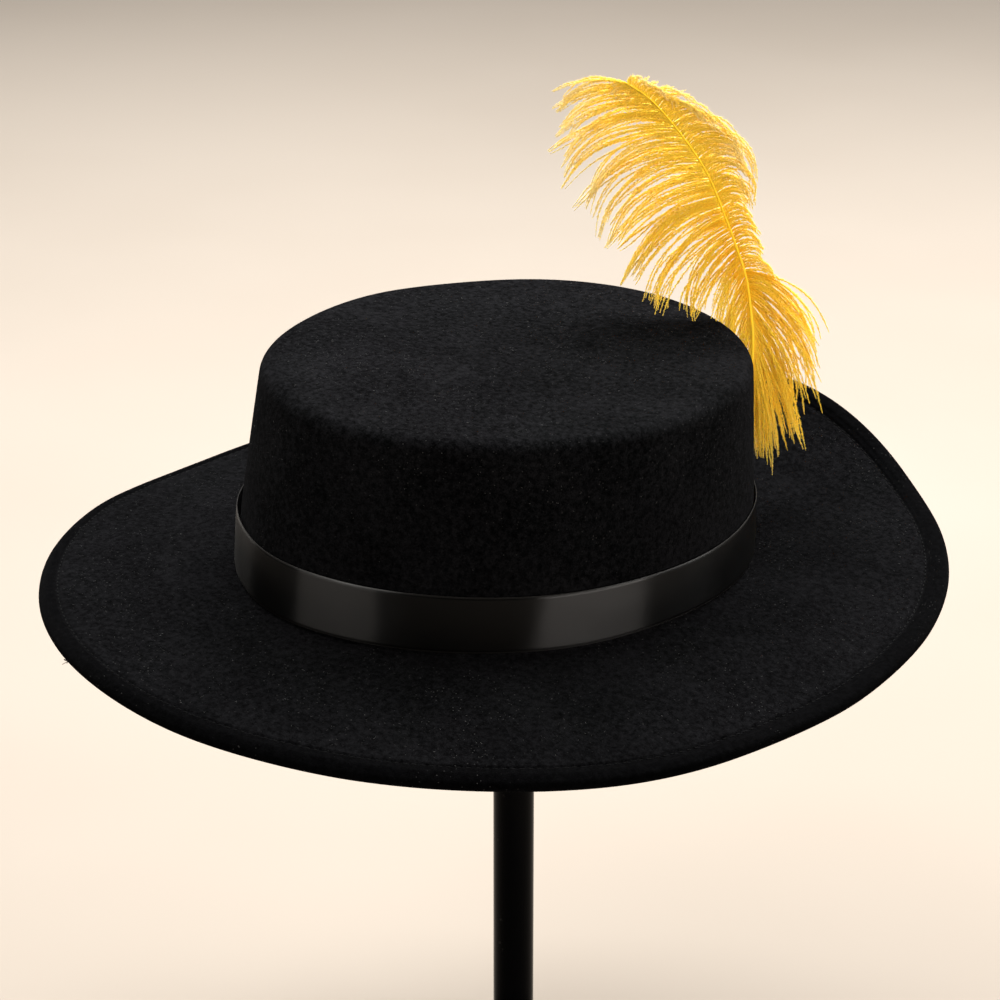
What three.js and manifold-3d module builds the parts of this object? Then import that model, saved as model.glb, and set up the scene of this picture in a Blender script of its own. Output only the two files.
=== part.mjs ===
// Cavalier hat of black wool felt with a satin ribbon and a yellow ostrich plume, on a plain round stand.
// Millimetres, +Z up. The wearer's left is +X and the front of the hat faces -Y.
// The origin is the centre of the stand's underside.

import * as THREE from "three";
import { mergeVertices } from "three/addons/utils/BufferGeometryUtils.js";
import Module from "manifold-3d";

const wasm = await Module();
wasm.setup();

// Crown: an oval cap, measured on the outside of the felt
const FELT = 2.5;
const CROWN_HALF_WIDTH = 85;
const CROWN_HALF_LENGTH = 101.2;
const TOP_HALF_WIDTH = 81.6;
const TOP_HALF_LENGTH = 93.2;
const CROWN_HEIGHT = 74.8;
const CROWN_DRAW_IN = 1.4;
const CROWN_LEAN = 1.4;
const CROWN_LEAN_TOWARD = 43;
const TOP_EDGE_RADIUS = 5;
const TOP_DOME = 1.5;

// Brim: its width is measured along the felt, from the crown to the outer edge
const BRIM_WIDTH = 72;
const BRIM_SLOPE = 23;
const BRIM_BEND = 1.3;
const BRIM_FOOT_SLOPE = 0.76;
const BREAK_RADIUS = 1.2;
const HEM_WIDTH = 8;
const HEM_THICKNESS = 4.6;
const HEM_ROLL = 45;
const GROOVE_WIDTH = 1.2;
const GROOVE_DEPTH = 0.6;

// Brim form, with a row every 30 degrees from the wearer's left towards the back.
// slope is a share of BRIM_SLOPE, up at the back and down at the front; roll is a share of HEM_ROLL.
const BRIM_FORM = [
  { slope: -0.36, roll: 0 },
  { slope: -0.08, roll: 0 },
  { slope: 0.24, roll: 0 },
  { slope: 1.0, roll: 0 },
  { slope: 0.62, roll: 0.3 },
  { slope: 0.0, roll: 0.8 },
  { slope: -0.38, roll: 1 },
  { slope: -0.25, roll: 1 },
  { slope: -0.21, roll: 1 },
  { slope: -0.32, roll: 1 },
  { slope: -0.42, roll: 0.8 },
  { slope: -0.52, roll: 0.35 },
];

// Ribbon round the foot of the crown
const RIBBON_WIDTH = 20;
const RIBBON_THICKNESS = 0.7;
const RIBBON_GAP = 0.3;
const RIBBON_LIFT = 1.5;
const RIBBON_SLACK = 0.8;
const RIBBON_SLACK_TOWARD = 225;
const RIBBON_SLACK_SPREAD = 50;

// Plume: its quill is tucked behind the ribbon, and its vane lies in an upright plane turned from +X
const PLUME_TOWARD = 65;
const PLUME_PLANE = 43;
const PLUME_RISE = 87;
const PLUME_REACH = 50;
const QUILL_RADIUS = 1.1;
const QUILL_TIP_RADIUS = 0.45;
const QUILL_GAP = 0.4;
const QUILL_TUCK_SPREAD = 9;
const LOCK_WIDTH = 8;
const LOCK_THICKNESS = 3;

// Quill above the ribbon. along and away are shares of PLUME_REACH from the quill's foot, crown is a
// share of CROWN_HEIGHT and rise a share of PLUME_RISE.
const QUILL_FORM = [
  { along: 0.01, away: 0.02, crown: 0.55, rise: 0 },
  { along: 0.03, away: 0.06, crown: 0.87, rise: 0 },
  { along: 0.0, away: 0.1, crown: 1, rise: 0.04 },
  { along: -0.05, away: 0.13, crown: 1, rise: 0.18 },
  { along: -0.13, away: 0.15, crown: 1, rise: 0.3 },
  { along: -0.22, away: 0.16, crown: 1, rise: 0.42 },
  { along: -0.4, away: 0.11, crown: 1, rise: 0.64 },
  { along: -0.7, away: 0.0, crown: 1, rise: 0.88 },
  { along: -0.86, away: -0.08, crown: 1, rise: 0.98 },
  { along: -1.03, away: -0.16, crown: 1, rise: 1.05 },
];

// Locks of barbs. at is a share of the quill's length and length a share of PLUME_REACH; start and end
// are the lock's headings in the plume's plane, 0 along the plane and 90 straight up, and lean is how far
// it turns away from that plane, in degrees.
const LEFT_LOCKS = {
  count: 14,
  rows: [
    { at: 0.45, length: 0.24, start: 236, end: 258, lean: -24 },
    { at: 0.52, length: 0.5, start: 226, end: 256, lean: -30 },
    { at: 0.59, length: 0.8, start: 204, end: 248, lean: -22 },
    { at: 0.68, length: 0.9, start: 182, end: 242, lean: -12 },
    { at: 0.8, length: 0.94, start: 170, end: 238, lean: -4 },
    { at: 0.9, length: 0.84, start: 160, end: 232, lean: 4 },
    { at: 0.99, length: 0.62, start: 152, end: 220, lean: 8 },
  ],
};
const RIGHT_LOCKS = {
  count: 12,
  rows: [
    { at: 0.5, length: 0.12, start: 70, end: 0, lean: 12 },
    { at: 0.6, length: 0.2, start: 74, end: -50, lean: 10 },
    { at: 0.7, length: 0.5, start: 70, end: -84, lean: 6 },
    { at: 0.8, length: 0.76, start: 64, end: -88, lean: 0 },
    { at: 0.88, length: 0.56, start: 70, end: -64, lean: -4 },
    { at: 0.94, length: 0.26, start: 88, end: -50, lean: -4 },
    { at: 0.99, length: 0.16, start: 116, end: 10, lean: -4 },
  ],
};
const TUFT_LOCKS = {
  count: 9,
  rows: [
    { at: 0.3, length: 0.76, start: -84, end: -92, lean: 8 },
    { at: 0.34, length: 1.0, start: -74, end: -82, lean: 14 },
    { at: 0.38, length: 1.04, start: -62, end: -74, lean: 20 },
    { at: 0.44, length: 0.98, start: -36, end: -78, lean: 24 },
    { at: 0.5, length: 0.88, start: -4, end: -76, lean: 26 },
  ],
};
// Breadth of a lock from its root to its tip, as shares of LOCK_WIDTH and LOCK_THICKNESS
const LOCK_TAPER = [0.3, 0.75, 1, 0.9, 0.6, 0.12];

// Stand: a weighted disc, a post and a domed head inside the crown
const HAT_HEIGHT = 240;
const HAT_SHIFT = -6;
const HAT_TILT = 2.2;
const HAT_TILT_TOWARD = 43;
const BASE_RADIUS = 70;
const BASE_THICKNESS = 6;
const BASE_EDGE = 1.5;
const POST_RADIUS = 7.6;
const HEAD_RADIUS = 45;
const HEAD_DOME_RADIUS = 130;
const HEAD_RIM = 4;
const HEAD_EDGE = 1;
const STAND_GAP = 0.3;

// Faces round the oval and round the stand
const OVAL_STEPS = 64;
const STAND_STEPS = 48;
const QUILL_SIDES = 6;
const QUILL_STEPS = 26;

const FELT_BLACK = new THREE.MeshStandardMaterial({ color: 0x101012, roughness: 0.95, metalness: 0 });
const SATIN_BLACK = new THREE.MeshStandardMaterial({ color: 0x0c0b0b, roughness: 0.32, metalness: 0 });
const PLUME_YELLOW = new THREE.MeshStandardMaterial({ color: 0xf2b21c, roughness: 0.8, metalness: 0 });
const STAND_BLACK = new THREE.MeshStandardMaterial({ color: 0x070707, roughness: 0.2, metalness: 0.2 });

const radians = THREE.MathUtils.degToRad;

function mesh(name, geometry, material) {
  const made = new THREE.Mesh(geometry, material);
  made.name = name;
  return made;
}

function geometryOf(points, triangles) {
  const geometry = new THREE.BufferGeometry();
  const coordinates = points.flatMap((point) => [point.x, point.y, point.z]);
  geometry.setAttribute("position", new THREE.Float32BufferAttribute(coordinates, 3));
  geometry.setIndex(triangles);
  geometry.computeVertexNormals();
  return geometry;
}

// A skin over rings of points. A ring of one point closes an end, and a closed skin runs from the last
// ring back to the first.
function skin(rings, closed = false) {
  const points = rings.flat();
  const starts = rings.map((_, i) => rings.slice(0, i).flat().length);
  const triangles = [];
  const last = closed ? rings.length : rings.length - 1;
  for (let i = 0; i < last; i++) {
    const next = (i + 1) % rings.length;
    const [a, b] = [rings[i].length, rings[next].length];
    const steps = Math.max(a, b);
    for (let k = 0; k < steps; k++) {
      const l = (k + 1) % steps;
      const [p, q] = [starts[i] + (k % a), starts[i] + (l % a)];
      const [r, s] = [starts[next] + (k % b), starts[next] + (l % b)];
      if (a > 1) triangles.push(p, r, q);
      if (b > 1) triangles.push(q, r, s);
    }
  }
  return geometryOf(points, triangles);
}

// The value at a place x, counted in rows, on a smooth curve through the rows of one column
function smooth(rows, column, x, round) {
  const row = Math.floor(x);
  const k = x - row;
  const value = (step) => {
    const index = row + step;
    const wrapped = ((index % rows.length) + rows.length) % rows.length;
    return rows[round ? wrapped : THREE.MathUtils.clamp(index, 0, rows.length - 1)][column];
  };
  const [a, b, c, d] = [value(-1), value(0), value(1), value(2)];
  const bend = (2 * a - 5 * b + 4 * c - d) * k * k + (3 * b - a - 3 * c + d) * k * k * k;
  return (2 * b + (c - a) * k + bend) / 2;
}

// The value of a column where its rows' at column reaches a share
function along(rows, column, share) {
  const row = rows.findLastIndex((entry) => entry.at <= share);
  const from = THREE.MathUtils.clamp(row, 0, rows.length - 2);
  const k = (share - rows[from].at) / (rows[from + 1].at - rows[from].at);
  return smooth(rows, column, from + THREE.MathUtils.clamp(k, 0, 0.999), false);
}

// Crown wall: the oval at a height above the crown's foot, grown outwards, as a point towards an angle
function wallPoint(angle, height, grow) {
  const share = Math.pow(THREE.MathUtils.clamp(height / CROWN_HEIGHT, 0, 1), CROWN_DRAW_IN);
  const halfWidth = THREE.MathUtils.lerp(CROWN_HALF_WIDTH, TOP_HALF_WIDTH, share) + grow;
  const halfLength = THREE.MathUtils.lerp(CROWN_HALF_LENGTH, TOP_HALF_LENGTH, share) + grow;
  const lean = share * CROWN_LEAN;
  const toward = radians(CROWN_LEAN_TOWARD);
  return new THREE.Vector3(
    halfWidth * Math.cos(angle) + lean * Math.cos(toward),
    halfLength * Math.sin(angle) + lean * Math.sin(toward),
    height,
  );
}

function ovalRing(pointAt, start = 0) {
  return Array.from({ length: OVAL_STEPS }, (_, i) => pointAt(start + (2 * Math.PI * i) / OVAL_STEPS));
}

// The brim's slope in radians towards an angle, at a distance out along the felt
function brimSlope(angle, distance) {
  const row = (THREE.MathUtils.euclideanModulo(angle, 2 * Math.PI) / (2 * Math.PI)) * BRIM_FORM.length;
  const edge = BRIM_SLOPE * smooth(BRIM_FORM, "slope", row, true);
  const out = THREE.MathUtils.clamp(distance / BRIM_WIDTH, 0, 1);
  const swept = edge * THREE.MathUtils.lerp(BRIM_FOOT_SLOPE, 1, Math.pow(out, BRIM_BEND));
  const pastSeam = (distance - BRIM_WIDTH + HEM_WIDTH) / (HEM_WIDTH - HEM_THICKNESS / 2);
  const roll = HEM_ROLL * smooth(BRIM_FORM, "roll", row, true) * THREE.MathUtils.clamp(pastSeam, 0, 1);
  return radians(swept - roll);
}

// A point of the brim: distance out along its upper face, and lift above or below that face
function brimPoint(angle, distance, lift) {
  const steps = 40;
  let grow = 0;
  let height = 0;
  for (let i = 0; i < steps; i++) {
    const slope = brimSlope(angle, ((i + 0.5) * distance) / steps);
    grow += (Math.cos(slope) * distance) / steps;
    height += (Math.sin(slope) * distance) / steps;
  }
  const slope = brimSlope(angle, distance);
  grow -= Math.sin(slope) * lift;
  height += Math.cos(slope) * lift;
  return wallPoint(angle, 0, grow).setZ(height);
}

// Half of the crown's skin, from the middle of its top down to the brim. sink is 0 outside and FELT inside.
function crownRings(sink) {
  const top = CROWN_HEIGHT - sink;
  const edge = TOP_EDGE_RADIUS - sink;
  const crownTop = (share) => (angle) => {
    const rim = wallPoint(angle, CROWN_HEIGHT, -TOP_EDGE_RADIUS).multiplyScalar(share);
    return rim.setZ(top + TOP_DOME * (1 - share * share));
  };
  const rings = [[new THREE.Vector3(0, 0, top + TOP_DOME)]];
  for (const share of [0.3, 0.58, 0.82]) rings.push(ovalRing(crownTop(share)));
  for (const turn of [90, 67, 45, 22, 0]) {
    const grow = -TOP_EDGE_RADIUS + edge * Math.cos(radians(turn));
    const height = CROWN_HEIGHT - TOP_EDGE_RADIUS + edge * Math.sin(radians(turn));
    rings.push(ovalRing((angle) => wallPoint(angle, height, grow)));
  }
  for (const share of [0.75, 0.5, 0.25]) {
    rings.push(ovalRing((angle) => wallPoint(angle, CROWN_HEIGHT * share, -sink)));
  }
  const bend = BREAK_RADIUS + sink;
  for (const turn of [0, 45]) {
    const grow = BREAK_RADIUS - bend * Math.cos(radians(turn));
    const height = BREAK_RADIUS - bend * Math.sin(radians(turn));
    rings.push(ovalRing((angle) => wallPoint(angle, 0, grow).setZ(height)));
  }
  return rings;
}

// The brim's skin: out over the upper face, round the folded hem and back below
function brimRings() {
  const seam = BRIM_WIDTH - HEM_WIDTH;
  const swell = (HEM_THICKNESS - FELT) / 2;
  const end = BRIM_WIDTH - HEM_THICKNESS / 2;
  const shares = [0, 0.18, 0.38, 0.6, 0.82];
  const plain = shares.map((share) => BREAK_RADIUS + share * (seam - 2 * GROOVE_WIDTH - BREAK_RADIUS));
  const section = plain.map((distance) => [distance, 0]);
  section.push([seam - GROOVE_WIDTH, 0], [seam - GROOVE_WIDTH / 2, -GROOVE_DEPTH], [seam, 0]);
  section.push([seam + HEM_WIDTH / 4, swell]);
  for (const turn of [90, 54, 18, -18, -54, -90]) {
    const out = end + (HEM_THICKNESS / 2) * Math.cos(radians(turn));
    section.push([out, (HEM_THICKNESS / 2) * Math.sin(radians(turn)) - FELT / 2]);
  }
  section.push([seam + HEM_WIDTH / 4, -FELT - swell], [seam - GROOVE_WIDTH / 2, -FELT]);
  for (const distance of plain.reverse()) section.push([distance, -FELT]);
  return section.map(([distance, lift]) => ovalRing((angle) => hemPoint(angle, distance, lift)));
}

// Past the end of the slope, the hem's round edge runs straight on
function hemPoint(angle, distance, lift) {
  const end = Math.min(distance, BRIM_WIDTH - HEM_THICKNESS / 2);
  const slope = brimSlope(angle, end);
  const point = brimPoint(angle, end, lift);
  const past = distance - end;
  const [level, rise] = [past * Math.cos(slope), past * Math.sin(slope)];
  return point.add(new THREE.Vector3(level * Math.cos(angle), level * Math.sin(angle), rise));
}

function feltBody() {
  return skin([...crownRings(0), ...brimRings(), ...crownRings(FELT).reverse()]);
}

// How far the ribbon stands off the felt towards an angle, at a share of its width from the lower edge
function ribbonStandOff(angle, share) {
  const fade = (toward, spread) => {
    const turn = THREE.MathUtils.euclideanModulo(THREE.MathUtils.radToDeg(angle) - toward + 180, 360) - 180;
    return Math.abs(turn) < spread ? (1 + Math.cos((Math.PI * turn) / spread)) / 2 : 0;
  };
  const slack = RIBBON_SLACK * share * fade(RIBBON_SLACK_TOWARD, RIBBON_SLACK_SPREAD);
  const tuck = 2 * (QUILL_RADIUS + QUILL_GAP) * fade(PLUME_TOWARD, QUILL_TUCK_SPREAD);
  return RIBBON_GAP + slack + tuck;
}

function ribbonBand() {
  const start = radians(PLUME_TOWARD);
  const edge = (share, grow) =>
    ovalRing((angle) => {
      const height = RIBBON_LIFT + share * RIBBON_WIDTH;
      return wallPoint(angle, height, ribbonStandOff(angle, share) + grow);
    }, start);
  const outside = [0, 0.5, 1].map((share) => edge(share, RIBBON_THICKNESS));
  const inside = [1, 0.5, 0].map((share) => edge(share, 0));
  return skin([...outside.reverse(), ...inside.reverse()], true);
}

// The quill's curve, from its foot behind the ribbon to the plume's tip
function quillCurve() {
  const angle = radians(PLUME_TOWARD);
  const plane = radians(PLUME_PLANE);
  const alongPlane = new THREE.Vector3(Math.cos(plane), Math.sin(plane), 0);
  const awayFromPlane = new THREE.Vector3(-Math.sin(plane), Math.cos(plane), 0);
  const off = QUILL_GAP + QUILL_RADIUS;
  const tucked = [0.05, 0.5, 1.15].map((share) => wallPoint(angle, RIBBON_LIFT + share * RIBBON_WIDTH, off));
  const foot = tucked[0].clone().setZ(0);
  const free = QUILL_FORM.map((row) =>
    foot
      .clone()
      .addScaledVector(alongPlane, row.along * PLUME_REACH)
      .addScaledVector(awayFromPlane, row.away * PLUME_REACH)
      .setZ(row.crown * CROWN_HEIGHT + row.rise * PLUME_RISE),
  );
  return new THREE.CatmullRomCurve3([...tucked, ...free]);
}

function quillGeometry(curve) {
  const rings = [];
  const side = new THREE.Vector3(Math.cos(radians(PLUME_PLANE + 90)), Math.sin(radians(PLUME_PLANE + 90)), 0);
  for (let i = 0; i <= QUILL_STEPS; i++) {
    const share = i / QUILL_STEPS;
    const tangent = curve.getTangentAt(share);
    const across = new THREE.Vector3().crossVectors(tangent, side).normalize();
    const other = new THREE.Vector3().crossVectors(across, tangent);
    const radius = THREE.MathUtils.lerp(QUILL_RADIUS, QUILL_TIP_RADIUS, share);
    rings.push(sectionRing(curve.getPointAt(share), across, other, radius, radius, QUILL_SIDES));
  }
  return skin([[curve.getPointAt(0)], ...rings, [curve.getPointAt(1)]]);
}

// A ring of points round a centre, on two axes
function sectionRing(centre, across, other, halfWidth, halfThickness, sides) {
  return Array.from({ length: sides }, (_, k) => {
    const turn = (2 * Math.PI * k) / sides;
    return centre
      .clone()
      .addScaledVector(across, halfWidth * Math.cos(turn))
      .addScaledVector(other, halfThickness * Math.sin(turn));
  });
}

// One lock of barbs: a flat tapered strip that leaves the quill and bends over
function lockGeometry(curve, rows, share) {
  const plane = radians(PLUME_PLANE);
  const level = new THREE.Vector3(Math.cos(plane), Math.sin(plane), 0);
  const away = new THREE.Vector3(-Math.sin(plane), Math.cos(plane), 0);
  const up = new THREE.Vector3(0, 0, 1);
  const length = PLUME_REACH * along(rows, "length", share);
  const start = along(rows, "start", share);
  const end = along(rows, "end", share);
  const lean = along(rows, "lean", share);
  const point = curve.getPointAt(share);
  const steps = LOCK_TAPER.length - 1;
  const rings = LOCK_TAPER.map((breadth, i) => {
    const heading = radians(THREE.MathUtils.lerp(start, end, i / steps));
    const tilt = radians((lean * i) / steps);
    const inPlane = level.clone().multiplyScalar(Math.cos(heading)).addScaledVector(up, Math.sin(heading));
    const forward = inPlane.multiplyScalar(Math.cos(tilt)).addScaledVector(away, Math.sin(tilt));
    if (i > 0) point.addScaledVector(forward, length / steps);
    const across = new THREE.Vector3().crossVectors(away, forward).normalize();
    const other = new THREE.Vector3().crossVectors(across, forward);
    return sectionRing(point, across, other, (breadth * LOCK_WIDTH) / 2, (breadth * LOCK_THICKNESS) / 2, 4);
  });
  const middle = (ring) => ring[0].clone().add(ring[2]).multiplyScalar(0.5);
  return skin([[middle(rings[0])], ...rings, [middle(rings[steps])]]);
}

function solidOf(geometry) {
  const bare = geometry.clone();
  bare.deleteAttribute("normal");
  bare.deleteAttribute("uv");
  const merged = mergeVertices(bare, 1e-4);
  const vertProperties = merged.getAttribute("position").array;
  const triVerts = new Uint32Array(merged.index.array);
  return new wasm.Manifold(new wasm.Mesh({ numProp: 3, vertProperties, triVerts }));
}

function geometryFrom(solid) {
  const { vertProperties, triVerts } = solid.getMesh();
  const geometry = new THREE.BufferGeometry();
  geometry.setAttribute("position", new THREE.BufferAttribute(vertProperties, 3));
  geometry.setIndex(new THREE.BufferAttribute(triVerts, 1));
  geometry.computeVertexNormals();
  return geometry;
}

// Quill and locks joined into one solid
function ostrichPlume() {
  const curve = quillCurve();
  let plume = solidOf(quillGeometry(curve));
  for (const { count, rows } of [LEFT_LOCKS, RIGHT_LOCKS, TUFT_LOCKS]) {
    const [first, last] = [rows[0].at, rows[rows.length - 1].at];
    for (let i = 0; i < count; i++) {
      const share = THREE.MathUtils.lerp(first, last, i / (count - 1));
      plume = plume.add(solidOf(lockGeometry(curve, rows, share)));
    }
  }
  return geometryFrom(plume);
}

// The hat's own frame stands at the crown's foot, shifted and tilted on the stand's head
const hat = new THREE.Group();
const tiltToward = radians(HAT_TILT_TOWARD);
hat.position.set(HAT_SHIFT * Math.cos(tiltToward), HAT_SHIFT * Math.sin(tiltToward), HAT_HEIGHT);
hat.quaternion.setFromAxisAngle(
  new THREE.Vector3(-Math.sin(tiltToward), Math.cos(tiltToward), 0),
  radians(HAT_TILT),
);
hat.add(
  mesh("felt_body", feltBody(), FELT_BLACK),
  mesh("ribbon_band", ribbonBand(), SATIN_BLACK),
  mesh("ostrich_plume", ostrichPlume(), PLUME_YELLOW),
);

// A solid turned round the stand's axis from its half outline, listed from the axis at the bottom to
// the axis at the top
function turned(outline) {
  const profile = outline.map(([radius, height]) => new THREE.Vector2(radius, height));
  return new THREE.LatheGeometry(profile, STAND_STEPS).rotateX(Math.PI / 2);
}

// Top of the head's dome: it touches the felt where the dome is tilted as the crown's top is
function headTop() {
  hat.updateMatrix();
  const inside = new THREE.Vector3(0, 0, CROWN_HEIGHT + TOP_DOME - FELT).applyMatrix4(hat.matrix);
  const normal = new THREE.Vector3(0, 0, 1).applyQuaternion(hat.quaternion);
  const centre = (normal.dot(inside) - HEAD_DOME_RADIUS - STAND_GAP) / normal.z;
  return centre + HEAD_DOME_RADIUS;
}

// Height of the head's dome at a distance from its middle
function domeHeight(radius) {
  return headTop() - HEAD_DOME_RADIUS + Math.sqrt(HEAD_DOME_RADIUS ** 2 - radius ** 2);
}

function standHead() {
  const bottom = domeHeight(HEAD_RADIUS) - HEAD_RIM;
  const dome = [1, 0.9, 0.65, 0.35, 0].map((share) => [HEAD_RADIUS * share, domeHeight(HEAD_RADIUS * share)]);
  return turned([[0, bottom], [HEAD_RADIUS - HEAD_EDGE, bottom], [HEAD_RADIUS, bottom + HEAD_EDGE], ...dome]);
}

function standPost() {
  const low = BASE_THICKNESS + STAND_GAP;
  const high = domeHeight(HEAD_RADIUS) - HEAD_RIM - STAND_GAP;
  return turned([[0, low], [POST_RADIUS, low], [POST_RADIUS, high], [0, high]]);
}

function standBase() {
  return turned([
    [0, 0],
    [BASE_RADIUS, 0],
    [BASE_RADIUS, BASE_THICKNESS - BASE_EDGE],
    [BASE_RADIUS - BASE_EDGE, BASE_THICKNESS],
    [0, BASE_THICKNESS],
  ]);
}

const hatOnStand = new THREE.Group();
hatOnStand.add(
  mesh("stand_base", standBase(), STAND_BLACK),
  mesh("stand_post", standPost(), STAND_BLACK),
  mesh("stand_head", standHead(), STAND_BLACK),
  hat,
);

export default hatOnStand;
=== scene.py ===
"""Cavalier hat of black wool felt with a satin ribbon and a yellow ostrich plume, on a plain round stand.

Metres, +Z up. The wearer's left is +X and the front of the hat faces -Y. The hat is shaped in a frame
of its own, whose origin is the middle of the crown's foot, and is then seated on the stand.
"""

import logging
import math
from collections.abc import Iterable, Sequence
from dataclasses import dataclass
from enum import Enum

import bmesh
import bpy
import numpy as np
from mathutils import Matrix, Vector, noise

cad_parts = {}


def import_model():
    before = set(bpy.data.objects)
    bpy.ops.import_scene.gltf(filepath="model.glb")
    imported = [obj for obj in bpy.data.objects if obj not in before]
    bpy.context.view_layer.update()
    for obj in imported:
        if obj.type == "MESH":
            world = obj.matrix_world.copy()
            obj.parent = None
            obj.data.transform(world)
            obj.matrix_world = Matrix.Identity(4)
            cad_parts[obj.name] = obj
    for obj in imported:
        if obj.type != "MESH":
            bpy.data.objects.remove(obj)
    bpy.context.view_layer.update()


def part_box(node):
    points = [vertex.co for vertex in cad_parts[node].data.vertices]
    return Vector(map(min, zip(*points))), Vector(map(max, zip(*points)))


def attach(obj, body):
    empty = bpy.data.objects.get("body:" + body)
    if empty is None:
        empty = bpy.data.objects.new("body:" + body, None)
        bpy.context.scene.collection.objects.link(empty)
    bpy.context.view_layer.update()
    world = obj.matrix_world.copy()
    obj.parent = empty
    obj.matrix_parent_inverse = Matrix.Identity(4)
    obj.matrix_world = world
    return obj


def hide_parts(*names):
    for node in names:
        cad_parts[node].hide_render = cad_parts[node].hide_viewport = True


LOG = logging.getLogger("cavalier_hat")
BODY = "root"
SEED = 31
FULL_TURN = 2 * math.pi
PLUME_GROUP = "plume_pieces"


class Slot(Enum):
    """Material slots of the record that the pieces take their finish from."""

    FELT = "black_felt"
    SATIN = "black_satin"
    PLUME = "yellow_plume"
    STAND = "stand_black"


class Side(Enum):
    """Which face of the felt a point is on, as a share of the felt's thickness below the outside."""

    OUTSIDE = 0.0
    INSIDE = 1.0


def level(degrees: float) -> np.ndarray:
    """Level unit vector at an angle from +X towards +Y."""
    return np.array([math.cos(math.radians(degrees)), math.sin(math.radians(degrees)), 0.0])


def unit(rows: np.ndarray) -> np.ndarray:
    """The vectors of the last axis, each scaled to length 1."""
    return rows / np.linalg.norm(rows, axis=-1, keepdims=True)


def column(rows: Sequence[object], name: str) -> np.ndarray:
    """One named column of a table of rows."""
    return np.array([getattr(row, name) for row in rows], float)


def smooth_curve(values: np.ndarray, place: np.ndarray, closed: bool) -> np.ndarray:
    """Values on a smooth curve through evenly placed values.

    Args:
        values: the values at places 0, 1, 2 and so on.
        place: where to read the curve, counted in values.
        closed: whether the last value is followed by the first.

    Returns:
        One value for each place.
    """
    row = np.floor(place).astype(int)
    k = place - row
    steps = [row + step for step in (-1, 0, 1, 2)]
    last = len(values) - 1
    before, start, end, after = (values[i % len(values) if closed else np.clip(i, 0, last)] for i in steps)
    bend = (2 * before - 5 * start + 4 * end - after) * k**2 + (3 * start - before - 3 * end + after) * k**3
    return start + ((end - before) * k + bend) / 2


def linked(piece: bpy.types.Object) -> bpy.types.Object:
    """The object, once it is in the scene."""
    bpy.context.scene.collection.objects.link(piece)
    return piece


def mesh_piece(name: str, mesh: bpy.types.Mesh) -> bpy.types.Object:
    """A smooth-shaded object at the origin that holds a mesh."""
    mesh.polygons.foreach_set("use_smooth", [True] * len(mesh.polygons))
    return linked(bpy.data.objects.new(name, mesh))


def corners_of(piece: bpy.types.Object) -> np.ndarray:
    """The corners of a mesh object, one row of x, y and z each."""
    places = np.empty(len(piece.data.vertices) * 3, np.float32)
    piece.data.vertices.foreach_get("co", places)
    return places.reshape(-1, 3)


def move_corners(piece: bpy.types.Object, points: np.ndarray) -> None:
    """Puts the corners of a mesh object at new points."""
    piece.data.vertices.foreach_set("co", points.astype(np.float32).ravel())


def note_values(piece: bpy.types.Object, name: str, values: np.ndarray) -> None:
    """Keeps a value for each corner of a mesh object, under a name."""
    layer = piece.data.attributes.new(name, "FLOAT", "POINT")
    layer.data.foreach_set("value", values.astype(np.float32))


def distances(steps: np.ndarray) -> np.ndarray:
    """How far along a line each corner is, from the steps between its corners."""
    return np.concatenate([[0], np.cumsum(np.linalg.norm(steps, axis=1))])


def stops_along(line: np.ndarray, pitch: float) -> tuple[np.ndarray, np.ndarray]:
    """Evenly spaced stops along a closed line.

    Args:
        line: the line's corners.
        pitch: about how far apart the stops are.

    Returns:
        The number of the corner at each stop, and the step from every corner to the next.
    """
    ahead = np.roll(line, -1, 0) - line
    walked = distances(ahead)
    count = round(walked[-1] / pitch)
    stops = np.searchsorted(walked, np.arange(count) * walked[-1] / count)
    return stops % len(line), ahead


def array_piece(name: str, points: np.ndarray, triangles: np.ndarray) -> bpy.types.Object:
    """A mesh object made of joined triangles.

    Args:
        name: the piece's name.
        points: the corners, one row of x, y and z each.
        triangles: three corner numbers in each row.

    Returns:
        The new object, at the origin.
    """
    mesh = bpy.data.meshes.new(name)
    mesh.vertices.add(len(points))
    mesh.vertices.foreach_set("co", points.astype(np.float32).ravel())
    mesh.loops.add(triangles.size)
    mesh.loops.foreach_set("vertex_index", triangles.astype(np.int32).ravel())
    mesh.polygons.add(len(triangles))
    mesh.polygons.foreach_set("loop_start", np.arange(0, triangles.size, 3, dtype=np.int32))
    mesh.update(calc_edges=True)
    return mesh_piece(name, mesh)


def bmesh_piece(name: str, shape: bmesh.types.BMesh) -> bpy.types.Object:
    """A smooth-shaded mesh object made from a bmesh, which is freed.

    Args:
        name: the piece's name.
        shape: the finished bmesh.

    Returns:
        The new object, at the origin.
    """
    mesh = bpy.data.meshes.new(name)
    shape.to_mesh(mesh)
    shape.free()
    return mesh_piece(name, mesh)


def joined_copies(name: str, shape: bmesh.types.BMesh, places: list[Matrix]) -> bpy.types.Object:
    """Copies of one small shape, joined in one mesh.

    Args:
        name: the piece's name.
        shape: the small shape, which is freed.
        places: a matrix that puts each copy in its place.

    Returns:
        The new object, at the origin.
    """
    bmesh.ops.triangulate(shape, faces=shape.faces)
    shape.verts.index_update()
    corners = np.array([[*vertex.co, 1.0] for vertex in shape.verts])
    triangles = np.array([[vertex.index for vertex in face.verts] for face in shape.faces])
    shape.free()
    matrices = np.array([[tuple(row) for row in place] for place in places])
    points = np.einsum("nij,cj->nci", matrices, corners)[..., :3].reshape(-1, 3)
    starts = np.arange(len(places))[:, None, None] * len(corners)
    return array_piece(name, points, (triangles[None] + starts).reshape(-1, 3))


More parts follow.
